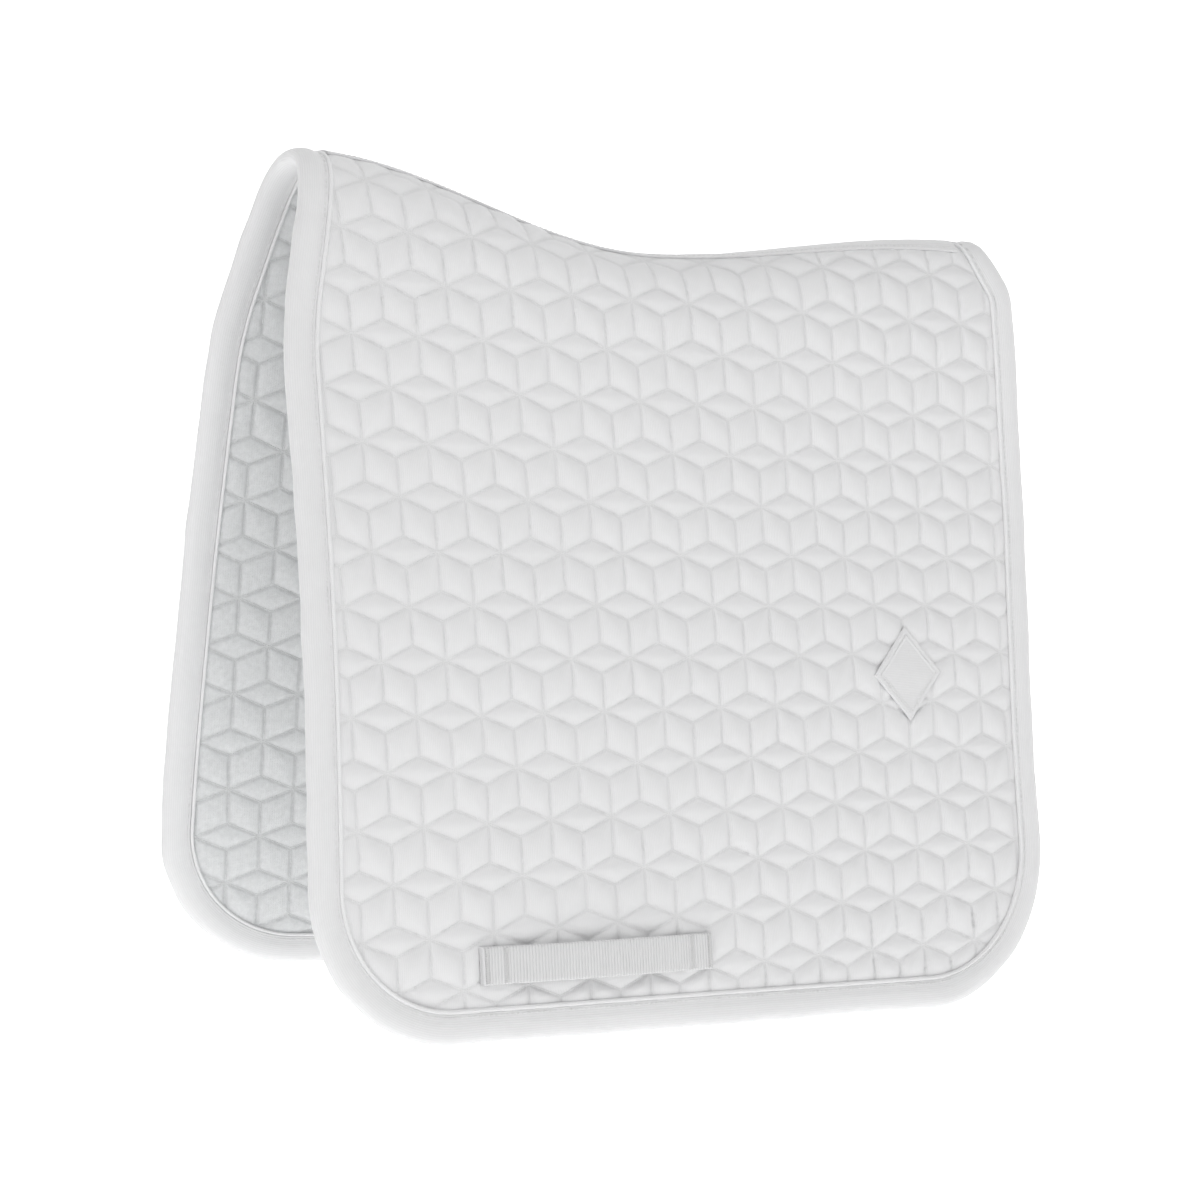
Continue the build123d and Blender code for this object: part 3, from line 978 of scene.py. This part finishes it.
def quilted_skin(p, low, high, pinch, side, facing):
    """Height of a quilted face off the middle surface."""
    u, v, seed = p["u"], p["v"], p["seed"]
    fullness = 1 + 0.14 * value_noise(u, v, 0.045, 31 + seed)
    height = low + (high - low) * p["pillow"] * fullness
    near_seam = np.exp(-p["seam"] / 0.0045)
    height += value_noise(u, v, 0.0055, 32 + seed) * 0.00032 * near_seam
    height += value_noise(u, v, 0.014, 33 + seed) * 0.00028 * (1 - near_seam)
    rounded = 1 - np.exp(-np.maximum(p["depth"] - 0.0222, 0) / 0.0042)
    height = pinch + (height - pinch) * rounded
    under_tape = 1 - smooth((p["spine"] - 0.0150) / 0.006)
    height = height + (0.0046 - height) * under_tape * rounded
    if facing > 0:
        pressed = sewn_down(p["x"], p["z"], side) * (p["w"] > 0)
        height = height + (np.minimum(height, 0.0044) - height) * pressed
        strap = keeper_top(p["x"])
        inside = (p["z"] < strap + 0.002) & (p["z"] > strap - KEEPER["tall"] - 0.002)
        inside &= (p["x"] > KEEPER["rear"]) & (p["x"] < KEEPER["front"])
        height = np.where(inside, np.minimum(height, 0.0049 + keeper_lift(p["x"])), height)
    return height


def build_outer_panel(side, name):
    s = bpy.context.scene.saddle_pad
    p = panel(side)
    height = quilted_skin(p, s.seam_height, s.crown_height, 0.0026, side, 1)
    top = pad_point(p["x"], p["w"], height, p["seed"])
    inner = np.minimum(height - 0.0009, 0.0004)
    bottom = pad_point(p["x"], p["w"], inner, p["seed"])
    uv = np.stack([p["u"], p["v"]], axis=-1)
    piece = slab(f"{name}_quilted_outer", top, bottom, uv, uv, side, quilted_cotton())
    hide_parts(f"{name}_flap_outer", f"{name}_flap_wadding", f"{name}_crest_outer", f"{name}_crest_wadding")
    ride_side(piece)
    return piece


def build_lining(side, name):
    s = bpy.context.scene.saddle_pad
    p = panel(side)
    height = quilted_skin(p, s.seam_height + 0.0006, s.crown_height - 0.0006, 0.0026, side, -1)
    face = pad_point(p["x"], p["w"], -height, p["seed"])
    back = pad_point(p["x"], p["w"], -np.maximum(height - 0.0014, 0.0002), p["seed"])
    uv = np.stack([p["u"], p["v"]], axis=-1)
    piece = slab(f"{name}_quilted_lining", back, face, uv, uv, side, brushed_lining())
    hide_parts(f"{name}_flap_lining", f"{name}_crest_lining")
    ride_side(piece)
    return piece


# ---- edging --------------------------------------------------------------------------------------

BINDING_WIDE = 0.0205
BINDING_NOSE = 0.0085


def binding_profile(depth):
    """Height of the binding's face at a depth in from the edge."""
    nose, full, sewn = BINDING_NOSE, 0.0064, 0.0043
    round_edge = full * np.sqrt(np.clip(1 - (1 - np.clip(depth / nose, 0, 1)) ** 2, 0, 1))
    falls = full - (full - sewn) * smooth((depth - 0.0115) / (BINDING_WIDE - 0.0115))
    return np.where(depth < nose, round_edge, falls)


def binding_ring():
    """Section of the binding: out along the outer face, round the edge and back on the inner face."""
    round_edge = BINDING_NOSE * (1 - np.sin(np.linspace(0, np.pi / 2, 8)[1:]))
    depth = np.concatenate([np.linspace(BINDING_WIDE, BINDING_NOSE, 9), round_edge])
    out = binding_profile(depth)
    out[-1] = 0
    skin_d = np.concatenate([depth, depth[-2::-1]])
    skin_o = np.concatenate([out, -out[-2::-1]])
    cloth = 0.0012
    dd, do = np.gradient(skin_d), np.gradient(skin_o)
    size = np.hypot(dd, do)
    inner_d, inner_o = skin_d - do / size * cloth, skin_o + dd / size * cloth
    return skin_d, skin_o, inner_d, inner_o


def build_binding(side, name):
    edge = pad_edge(side)
    skin_d, skin_o, inner_d, inner_o = binding_ring()
    run = edge.run[:, None]
    seed = 50 + edge.seed
    scallop = value_noise(run, 0 * run, 0.021, seed) * 0.0006 + value_noise(run, 0 * run, 0.047, seed + 1) * 0.0004
    from_ends = smooth(np.minimum(run, edge.length - run) / 0.05)
    scallop = scallop * from_ends
    puff = 1 + value_noise(run, skin_d[None, :], 0.011, seed + 2) * 0.05 * from_ends
    weight = 1 - np.clip(skin_d / BINDING_WIDE, 0, 1)
    outer = edge.point(run, skin_d[None, :] + scallop * weight, skin_o[None, :] * puff)
    inner = edge.point(run, inner_d[None, :] + scallop * weight, inner_o[None, :] * puff)
    rings = np.concatenate([outer, inner[:, ::-1]], axis=1)
    girth = np.concatenate([[0], np.hypot(np.diff(skin_d), np.diff(skin_o)).cumsum()])
    girth = np.concatenate([girth, girth[::-1]])
    uvs = np.stack(np.broadcast_arrays(run, girth[None, :]), axis=-1)
    piece = sweep(f"{name}_binding", rings, uvs, side, binding_tape())
    arches = ("front_arch_binding",) if side > 0 else ("rear_arch_binding",)
    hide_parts(f"{name}_flap_binding", *arches)
    ride_side(piece)
    return piece


def build_piping(side, name, face):
    edge = pad_edge(side)
    radius = 0.00155 if face > 0 else 0.0013
    turn = np.linspace(0, math.tau, 12, endpoint=False)
    run = edge.run[:, None]
    lump = 1 + value_noise(run, 0 * run, 0.006, 61 + edge.seed) * 0.05
    depth = PIPING_DEPTH + radius * np.cos(turn)[None, :] * lump
    out = face * (0.0041 + radius * np.sin(turn)[None, :] * 1.15 * lump)
    rings = edge.point(run, depth, out)
    uvs = np.stack(np.broadcast_arrays(run, (turn * radius)[None, :]), axis=-1)
    label = "outer" if face > 0 else "inner"
    piece = sweep(f"{name}_{label}_piping", rings, uvs, side, piping_cord())
    arch = "front_arch" if side > 0 else "rear_arch"
    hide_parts(f"{name}_flap_{label}_piping", f"{arch}_{label}_piping")
    ride_side(piece)
    return piece


def thread_mesh(name, stitches, material, side=1):
    """One mesh of many stitches. Each is a list of rings of points along its length."""
    points, faces, uvs = [], [], []
    start = 0
    for rings, length in stitches:
        count, around = rings.shape[:2]
        points.append(rings.reshape(-1, 3))
        t = np.linspace(0, length, count)
        cloth = np.broadcast_arrays(t[:, None], np.linspace(0, 0.001, around)[None, :])
        uvs.append(np.stack(cloth, axis=-1).reshape(-1, 2) + start * 1e-4)
        i, j = np.meshgrid(np.arange(count - 1), np.arange(around), indexing="ij")
        a = (start + i * around + j).ravel()
        b = (start + i * around + (j + 1) % around).ravel()
        faces.append(np.stack([a, b, b + around, a + around], axis=1))
        for first in (start, start + (count - 1) * around):
            faces.append(np.array(end_strips(first + np.arange(around))))
        start += count * around
    points = mirrored(np.concatenate(points), side)
    piece = mesh_object(name, points, np.concatenate(faces), np.concatenate(uvs), [material], sharp=80)
    fix_normals(piece)
    return piece


# Place along the stitch, thickness and lift of each ring.
STITCH_RINGS = [
    (-1.0, 0.35, -0.5), (-0.8, 0.9, -0.1), (-0.3, 1.0, 0.15),
    (0.3, 1.0, 0.15), (0.8, 0.9, -0.1), (1.0, 0.35, -0.5),
]


def stitch(place, along, across, up, half, radius):
    """Rings of one stitch: a short thread that dips into the cloth at both ends."""
    turn = np.linspace(0, math.tau, 6, endpoint=False)
    rings = []
    for share, thick, lift in STITCH_RINGS:
        centre = place + along * half * share + up * radius * lift * 1.2
        rings.append(centre + radius * thick * (np.cos(turn)[:, None] * across + np.sin(turn)[:, None] * up))
    return np.array(rings), 2 * half


def unit(v):
    return v / np.linalg.norm(v, axis=-1, keepdims=True)


def sew(stitches, here, ahead, up, half, radius):
    """Adds a stitch at each point of here, running towards ahead, with up pointing off the cloth."""
    here, ahead, up = (np.atleast_2d(v) for v in (here, ahead, up))
    ahead, up = unit(ahead - here), unit(up - here)
    across = np.cross(ahead, up)
    for k in range(len(here)):
        stitches.append(stitch(here[k], ahead[k], across[k], up[k], half, radius))


def build_edge_stitches(side, name):
    edge = pad_edge(side)
    stitches = []
    for face in (1, -1):
        depth = BINDING_STITCH_DEPTH
        out = face * (float(binding_profile(np.array(depth))) + 0.00012)
        runs = np.arange(0.004, edge.length - 0.003, STITCH_PITCH)
        here = edge.point(runs, depth, out)
        ahead = edge.point(runs + 0.0005, depth, out)
        up = edge.point(runs, depth, out + face * 0.001)
        sew(stitches, here, ahead, up, 0.00155, 0.00032)
    piece = thread_mesh(f"{name}_binding_stitches", stitches, sewing_thread(), side)
    ride_side(piece)
    return piece


def build_spine_tapes():
    front, rear, _ = outline_branches(0.0240)
    half = 0.0160
    rows = 240
    made = []
    for name, face, node in (("spine_tape", 1, "spine_tape"), ("spine_seam_tape", -1, "spine_seam_tape")):
        low, high = 0.0049, 0.0062
        across = np.linspace(-half, half, 25)
        a = edge_x(rear, np.array([-0.30]), -1.0)[0]
        b = edge_x(front, np.array([0.28]), -1.0)[0]
        x = np.linspace(a, b, rows)[:, None] + 0 * across[None, :]
        arc = np.abs(across)[None, :] + 0 * x
        w = -1 + arc / crest_length(x)
        edge_round = np.sqrt(np.clip(1 - (np.abs(across) / (half + 0.0002)) ** 16, 0, 1))[None, :]
        ripple = value_noise(x, arc * np.sign(across)[None, :], 0.02, 71) * 0.00025
        top = pad_point(x, w, face * (low + 0.0002 + (high - low) * (0.35 + 0.65 * edge_round) + ripple))
        under = pad_point(x, w, face * (low - 0.0002 + 0 * x))
        sign = np.where(across < 0, -1.0, 1.0)[None, :] + 0 * x
        for grid in (top, under):
            grid[..., 1] *= sign
        uv = np.stack([x, arc * sign], axis=-1)
        if face > 0:
            top, under, uv = (grid[:, ::-1] for grid in (top, under, uv))
        piece = slab(name, top, under, uv, uv, 1, spine_webbing())
        fix_normals(piece)
        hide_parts(node)
        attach(piece, "spine")
        made.append(piece)
        stitches = []
        for offset in (-0.0135, 0.0135):
            xs = np.arange(a + 0.003, b - 0.003, STITCH_PITCH)
            arcs = np.full_like(xs, abs(offset))
            ww = -1 + arcs / crest_length(xs)
            out = face * (high + 0.00015)
            here = pad_point(xs, ww, out)
            ahead = pad_point(xs + 0.0005, ww, out)
            up = pad_point(xs, ww, out + face * 0.001)
            for v in (here, ahead, up):
                v[:, 1] *= np.sign(offset)
            sew(stitches, here, ahead, up, 0.00155, 0.00032)
        threads = thread_mesh(f"{name}_stitches", stitches, sewing_thread())
        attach(threads, "spine")
        made.append(threads)
    return made


def fix_normals(piece):
    bm = bmesh.new()
    bm.from_mesh(piece.data)
    bmesh.ops.recalc_face_normals(bm, faces=bm.faces)
    bm.to_mesh(piece.data)
    bm.free()


# ---- girth keepers -------------------------------------------------------------------------------


def strap_point(x, down, out, seed):
    """Point over the hanging side at X and down from the keeper's top edge."""
    z = keeper_top(x) - down
    return pad_point(x, (FOLD_Z - z) / WALL_STEP, out, seed)


def build_keeper(side, name):
    seed = 0 if side > 0 else 40
    tall, web = KEEPER["tall"], 0.0020
    xs = np.arange(KEEPER["rear"], KEEPER["front"] + 1e-6, 0.0004)
    down = np.concatenate([[0, 0.0003], np.linspace(0.0012, tall - 0.0012, 11), [tall - 0.0003, tall]])
    x, d = np.meshgrid(xs, down, indexing="ij")
    ends = np.minimum(x - KEEPER["rear"], KEEPER["front"] - x)
    folded = smooth((KEEPER["end"] - ends) / 0.0016)
    base = 0.0051
    lift = web + keeper_lift(x)
    sag = value_noise(x, d, 0.03, 81 + seed) * 0.0004
    selvedge = np.sqrt(np.clip(1 - (np.abs(d / tall - 0.5) * 2) ** 14, 0, 1))
    ribs = np.abs(np.sin(np.pi * x / 0.0024)) ** 0.7 * 0.00042
    nose = np.sqrt(np.clip(1 - (1 - np.clip(ends / 0.0022, 0, 1)) ** 2, 0.02, 1))
    top_out = base + (lift + web * (0.45 + 0.55 * selvedge)) * nose + ribs * nose + sag * (1 - folded)
    low_out = base + (lift + web * 0.25 * (1 - selvedge) + sag) * (1 - folded)
    top = strap_point(x, d, top_out, seed)
    low = strap_point(x, d, np.minimum(low_out, top_out - 0.0004), seed)
    uv = np.stack([x, d], axis=-1)
    piece = slab(f"{name}_girth_keeper", top, low, uv, uv, side, keeper_webbing())
    fix_normals(piece)
    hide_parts(f"{name}_girth_keeper")
    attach(piece, f"{name}_flap")
    stitches = []
    tacks = (KEEPER["rear"] + 0.004, KEEPER["rear"] + 0.019, KEEPER["front"] - 0.019, KEEPER["front"] - 0.004)
    for centre in tacks:
        for k, y in enumerate(np.arange(0.0012, tall - 0.001, 0.00055)):
            slant = 0.00018 * (1 if k % 2 else -1)
            out = base + 2 * web + 0.00048
            here = strap_point(np.array(centre), y, out, seed)
            ahead = strap_point(np.array(centre + 0.001), y + slant, out, seed)
            up = strap_point(np.array(centre), y, out + 0.001, seed)
            sew(stitches, here, ahead, up, 0.0016, 0.00030)
    threads = thread_mesh(f"{name}_keeper_bar_tacks", stitches, sewing_thread(), side)
    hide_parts(f"{name}_keeper_bar_tacks")
    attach(threads, f"{name}_flap")
    return [piece, threads]


# ---- diamond patch -------------------------------------------------------------------------------


def build_patch():
    count = 73
    p, q = np.meshgrid(np.linspace(-1, 1, count), np.linspace(-1, 1, count), indexing="ij")
    wide, tall = PATCH["wide"], PATCH["tall"]
    x = PATCH["x"] + (p - q) / 2 * wide
    z = PATCH["z"] + (p + q) / 2 * tall
    leg = math.hypot(wide, tall)
    inward = np.minimum(1 - np.abs(p), 1 - np.abs(q)) * leg / 2
    rolled = np.sqrt(np.clip(1 - (1 - np.clip(inward / 0.0012, 0, 1)) ** 2, 0, 1))
    turned = 1 - smooth((inward - 0.0048) / 0.0012)
    dip = np.exp(-(((inward - 0.0040) / 0.0006) ** 2))
    crown = smooth((inward - 0.005) / 0.014) * 0.0008
    out = 0.0050 + rolled * (0.0009 + 0.0006 * turned) - 0.00035 * dip + crown
    out += value_noise(x, z, 0.012, 91) * 0.0002 * rolled
    w = (FOLD_Z - z) / WALL_STEP
    top = pad_point(x, w, out)
    low = pad_point(x, w, 0.0046 + 0 * x)
    uv = np.stack([p * leg / 2, q * leg / 2], axis=-1)
    piece = slab("diamond_patch", top, low, uv, uv, 1, patch_twill())
    fix_normals(piece)
    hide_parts("diamond_patch")
    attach(piece, "left_flap")
    inset = 1 - 0.0040 * 2 / leg
    corners = [(inset, inset), (-inset, inset), (-inset, -inset), (inset, -inset)]
    stitches = []
    for (p0, q0), (p1, q1) in zip(corners, corners[1:] + corners[:1]):
        number = int(leg * inset / 0.0034)
        for k in range(number):
            t = (k + 0.5) / number
            pp, qq = p0 + (p1 - p0) * t, q0 + (q1 - q0) * t
            px, pz = PATCH["x"] + (pp - qq) / 2 * wide, PATCH["z"] + (pp + qq) / 2 * tall
            dx, dz = ((p1 - p0) - (q1 - q0)) / 2 * wide, ((p1 - p0) + (q1 - q0)) / 2 * tall
            size = math.hypot(dx, dz)
            down = (FOLD_Z - pz) / WALL_STEP
            next_x, next_down = px + dx / size * 0.001, (FOLD_Z - pz - dz / size * 0.001) / WALL_STEP
            place = pad_point(px, down, 0.0064)
            ahead = pad_point(next_x, next_down, 0.0064)
            up = pad_point(px, down, 0.0074)
            sew(stitches, place, ahead, up, 0.0013, 0.00028)
    threads = thread_mesh("diamond_patch_stitching", stitches, sewing_thread())
    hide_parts("diamond_patch_stitching")
    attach(threads, "left_flap")
    return [piece, threads]


# ---- stage ---------------------------------------------------------------------------------------


def plain_surface(name, colour, glow):
    material = bpy.data.materials.new(name)
    material.use_nodes = True
    tree = material.node_tree
    tree.nodes.clear()
    n = Nodes(tree)
    shader, output = n.add("ShaderNodeBsdfPrincipled"), n.add("ShaderNodeOutputMaterial")
    shader.inputs["Base Color"].default_value = (*colour, 1.0)
    shader.inputs["Roughness"].default_value = 0.9
    shader.inputs["Emission Color"].default_value = (1, 1, 1, 1)
    shader.inputs["Emission Strength"].default_value = glow
    tree.links.new(shader.outputs[0], output.inputs[0])
    return material


def area_light(name, place, aim, size, power):
    lamp = bpy.data.lights.new(name, "AREA")
    lamp.shape = "DISK"
    lamp.size = size
    lamp.energy = power
    made = bpy.data.objects.new(name, lamp)
    bpy.context.scene.collection.objects.link(made)
    made.location = place
    made.rotation_mode = "QUATERNION"
    made.rotation_quaternion = (Vector(aim) - Vector(place)).to_track_quat("-Z", "Y")
    return made


def build_stage():
    s = bpy.context.scene.saddle_pad
    floor_z = CAD_BOX[0][2] - 0.035
    profile = [(-3.2, floor_z), (1.2, floor_z)]
    for k in range(1, 13):
        angle = math.pi / 2 * k / 12
        profile.append((1.2 + 0.9 * math.sin(angle), floor_z + 0.9 * (1 - math.cos(angle))))
    profile.append((2.1, floor_z + 4.5))
    ahead = Vector((-0.4684, -0.8807, 0)).normalized()
    cross = Vector((ahead.y, -ahead.x, 0))
    points, faces = [], []
    for along, z in profile:
        for across in (-5.0, 5.0):
            points.append(ahead * along + cross * across + Vector((0, 0, z)))
    for k in range(len(profile) - 1):
        faces.append((2 * k, 2 * k + 1, 2 * k + 3, 2 * k + 2))
    mesh = bpy.data.meshes.new("studio_floor")
    mesh.from_pydata([tuple(p) for p in points], [], faces)
    mesh.materials.append(plain_surface("Studio Floor", (0.9, 0.9, 0.9), s.floor_glow))
    for face in mesh.polygons:
        face.use_smooth = True
    floor = bpy.data.objects.new("studio_floor", mesh)
    bpy.context.scene.collection.objects.link(floor)
    world = bpy.data.worlds.new("Studio")
    world.use_nodes = True
    world.node_tree.nodes["Background"].inputs[0].default_value = (1, 1, 1, 1)
    n = Nodes(world.node_tree)
    seen = n.add("ShaderNodeLightPath").outputs["Is Camera Ray"]
    strength = n.math("MULTIPLY_ADD", seen, 1 - s.fill_strength, s.fill_strength)
    n.link(strength, world.node_tree.nodes["Background"].inputs[1])
    bpy.context.scene.world = world
    area_light("key_light", (0.45, 1.35, 2.2), (0, 0.05, -0.22), 1.2, s.key_power)
    area_light("side_light", (1.9, 1.3, 0.8), (0, 0.0, -0.2), 1.6, s.key_power * 0.25)
    camera = bpy.data.cameras.new("camera")
    camera.lens = s.camera_lens
    camera.sensor_width = 36
    camera.clip_start, camera.clip_end = 0.05, 60
    made = bpy.data.objects.new("camera", camera)
    bpy.context.scene.collection.objects.link(made)
    made.location = (0.931, 1.6819, -0.1065)
    ahead = Vector((-0.4684, -0.88071, -0.07042)).normalized()
    up = Vector((-0.02604, -0.06591, 0.99749))
    right = ahead.cross(up).normalized()
    made.rotation_mode = "QUATERNION"
    made.rotation_quaternion = Matrix((right, right.cross(ahead), -ahead)).transposed().to_quaternion()
    bpy.context.scene.camera = made
    bpy.context.scene.view_settings.view_transform = "Standard"
    return floor


# ---- add-on --------------------------------------------------------------------------------------


def number(name, description, default, low, high, unit="LENGTH"):
    return bpy.props.FloatProperty(
        name=name, description=description, default=default, min=low, max=high, unit=unit, precision=4
    )


def colour(name, description, default):
    return bpy.props.FloatVectorProperty(
        name=name, description=description, default=default, size=3, min=0, max=1, subtype="COLOR"
    )


class SaddlePadSettings(bpy.types.PropertyGroup):
    """Sizes and colours of the saddle pad"""

    mesh_pitch: number("Mesh Pitch", "Spacing of the quilted panels' mesh", 0.0028, 0.0015, 0.008)
    seam_height: number("Seam Height", "Height of a quilting seam off the pad's middle", 0.0026, 0.0005, 0.004)
    crown_height: number("Crown Height", "Height of a lozenge's crown off the pad's middle", 0.0062, 0.003, 0.010)
    keeper_bow: number("Keeper Bow", "How far the girth keeper stands away at its middle", 0.0028, 0.0, 0.012)
    cotton_colour: colour("Cotton", "Colour of the quilted outside", (0.80, 0.80, 0.805))
    # Greyer than the cotton: partly the lining fabric's own tone, partly painted shade on the pad's inner side.
    lining_colour_and_shade: colour("Lining", "Colour of the brushed lining", (0.75, 0.76, 0.765))
    binding_colour: colour("Binding", "Colour of the binding and the spine tape", (0.80, 0.80, 0.805))
    piping_colour: colour("Piping", "Colour of the piping", (0.82, 0.82, 0.825))
    webbing_colour: colour("Webbing", "Colour of the girth keepers", (0.72, 0.72, 0.725))
    patch_colour: colour("Patch", "Colour of the diamond patch", (0.78, 0.78, 0.785))
    thread_colour: colour("Thread", "Colour of the sewing thread", (0.80, 0.80, 0.80))
    fill_strength: number("Fill", "Strength of the even light all round", 0.345, 0, 4, "NONE")
    key_power: number("Key Power", "Power of the main studio light", 23.5, 0, 500, "POWER")
    floor_glow: number("Floor Glow", "How much the floor and backdrop are lifted to white", 0.74, 0, 2, "NONE")
    camera_lens: number("Lens", "Focal length of the camera in millimetres", 78.0, 20, 200, "NONE")


class BuildOperator:
    bl_options = {"REGISTER", "UNDO"}


class SADDLEPAD_OT_outer(BuildOperator, bpy.types.Operator):
    """Build the quilted outside of both panels"""

    bl_idname = "saddle_pad.outer"
    bl_label = "Quilted Outside"

    def execute(self, context):
        for side, name in SIDES:
            build_outer_panel(side, name)
        return {"FINISHED"}


class SADDLEPAD_OT_lining(BuildOperator, bpy.types.Operator):
    """Build the brushed lining of both panels"""

    bl_idname = "saddle_pad.lining"
    bl_label = "Brushed Lining"

    def execute(self, context):
        for side, name in SIDES:
            build_lining(side, name)
        return {"FINISHED"}


class SADDLEPAD_OT_binding(BuildOperator, bpy.types.Operator):
    """Build the binding round the edge, with its topstitching"""

    bl_idname = "saddle_pad.binding"
    bl_label = "Edge Binding"

    def execute(self, context):
        for side, name in SIDES:
            build_binding(side, name)
            build_edge_stitches(side, name)
        return {"FINISHED"}


class SADDLEPAD_OT_piping(BuildOperator, bpy.types.Operator):
    """Build the piping on both faces, along the binding's seam"""

    bl_idname = "saddle_pad.piping"
    bl_label = "Piping"

    def execute(self, context):
        for side, name in SIDES:
            for face in (1, -1):
                build_piping(side, name, face)
        return {"FINISHED"}


class SADDLEPAD_OT_tapes(BuildOperator, bpy.types.Operator):
    """Build the tapes over and under the spine seam"""

    bl_idname = "saddle_pad.tapes"
    bl_label = "Spine Tapes"

    def execute(self, context):
        build_spine_tapes()
        return {"FINISHED"}


class SADDLEPAD_OT_keepers(BuildOperator, bpy.types.Operator):
    """Build the girth keepers with their bar tacks"""

    bl_idname = "saddle_pad.keepers"
    bl_label = "Girth Keepers"

    def execute(self, context):
        for side, name in SIDES:
            build_keeper(side, name)
        return {"FINISHED"}


class SADDLEPAD_OT_patch(BuildOperator, bpy.types.Operator):
    """Build the plain diamond patch with its stitching"""

    bl_idname = "saddle_pad.patch"
    bl_label = "Diamond Patch"

    def execute(self, context):
        build_patch()
        return {"FINISHED"}


class SADDLEPAD_OT_stage(BuildOperator, bpy.types.Operator):
    """Build the floor, the lights and the camera"""

    bl_idname = "saddle_pad.stage"
    bl_label = "Studio Stage"

    def execute(self, context):
        build_stage()
        return {"FINISHED"}


OPERATORS = (
    SADDLEPAD_OT_outer,
    SADDLEPAD_OT_lining,
    SADDLEPAD_OT_binding,
    SADDLEPAD_OT_piping,
    SADDLEPAD_OT_tapes,
    SADDLEPAD_OT_keepers,
    SADDLEPAD_OT_patch,
    SADDLEPAD_OT_stage,
)


class SADDLEPAD_PT_sidebar(bpy.types.Panel):
    """Lists the pieces of the saddle pad"""

    bl_idname = "SADDLEPAD_PT_sidebar"
    bl_label = "Saddle Pad"
    bl_space_type = "VIEW_3D"
    bl_region_type = "UI"
    bl_category = "Saddle Pad"

    def draw(self, context):
        for name in SaddlePadSettings.__annotations__:
            self.layout.prop(context.scene.saddle_pad, name)
        for operator in OPERATORS:
            self.layout.operator(operator.bl_idname)


CLASSES = (SaddlePadSettings, *OPERATORS, SADDLEPAD_PT_sidebar)


def register():
    for item in CLASSES:
        bpy.utils.register_class(item)
    bpy.types.Scene.saddle_pad = bpy.props.PointerProperty(type=SaddlePadSettings)


def unregister():
    del bpy.types.Scene.saddle_pad
    for item in reversed(CLASSES):
        bpy.utils.unregister_class(item)


def main():
    register()
    for operator in OPERATORS:
        group, name = operator.bl_idname.split(".")
        getattr(getattr(bpy.ops, group), name)()


if __name__ == "__main__":
    main()
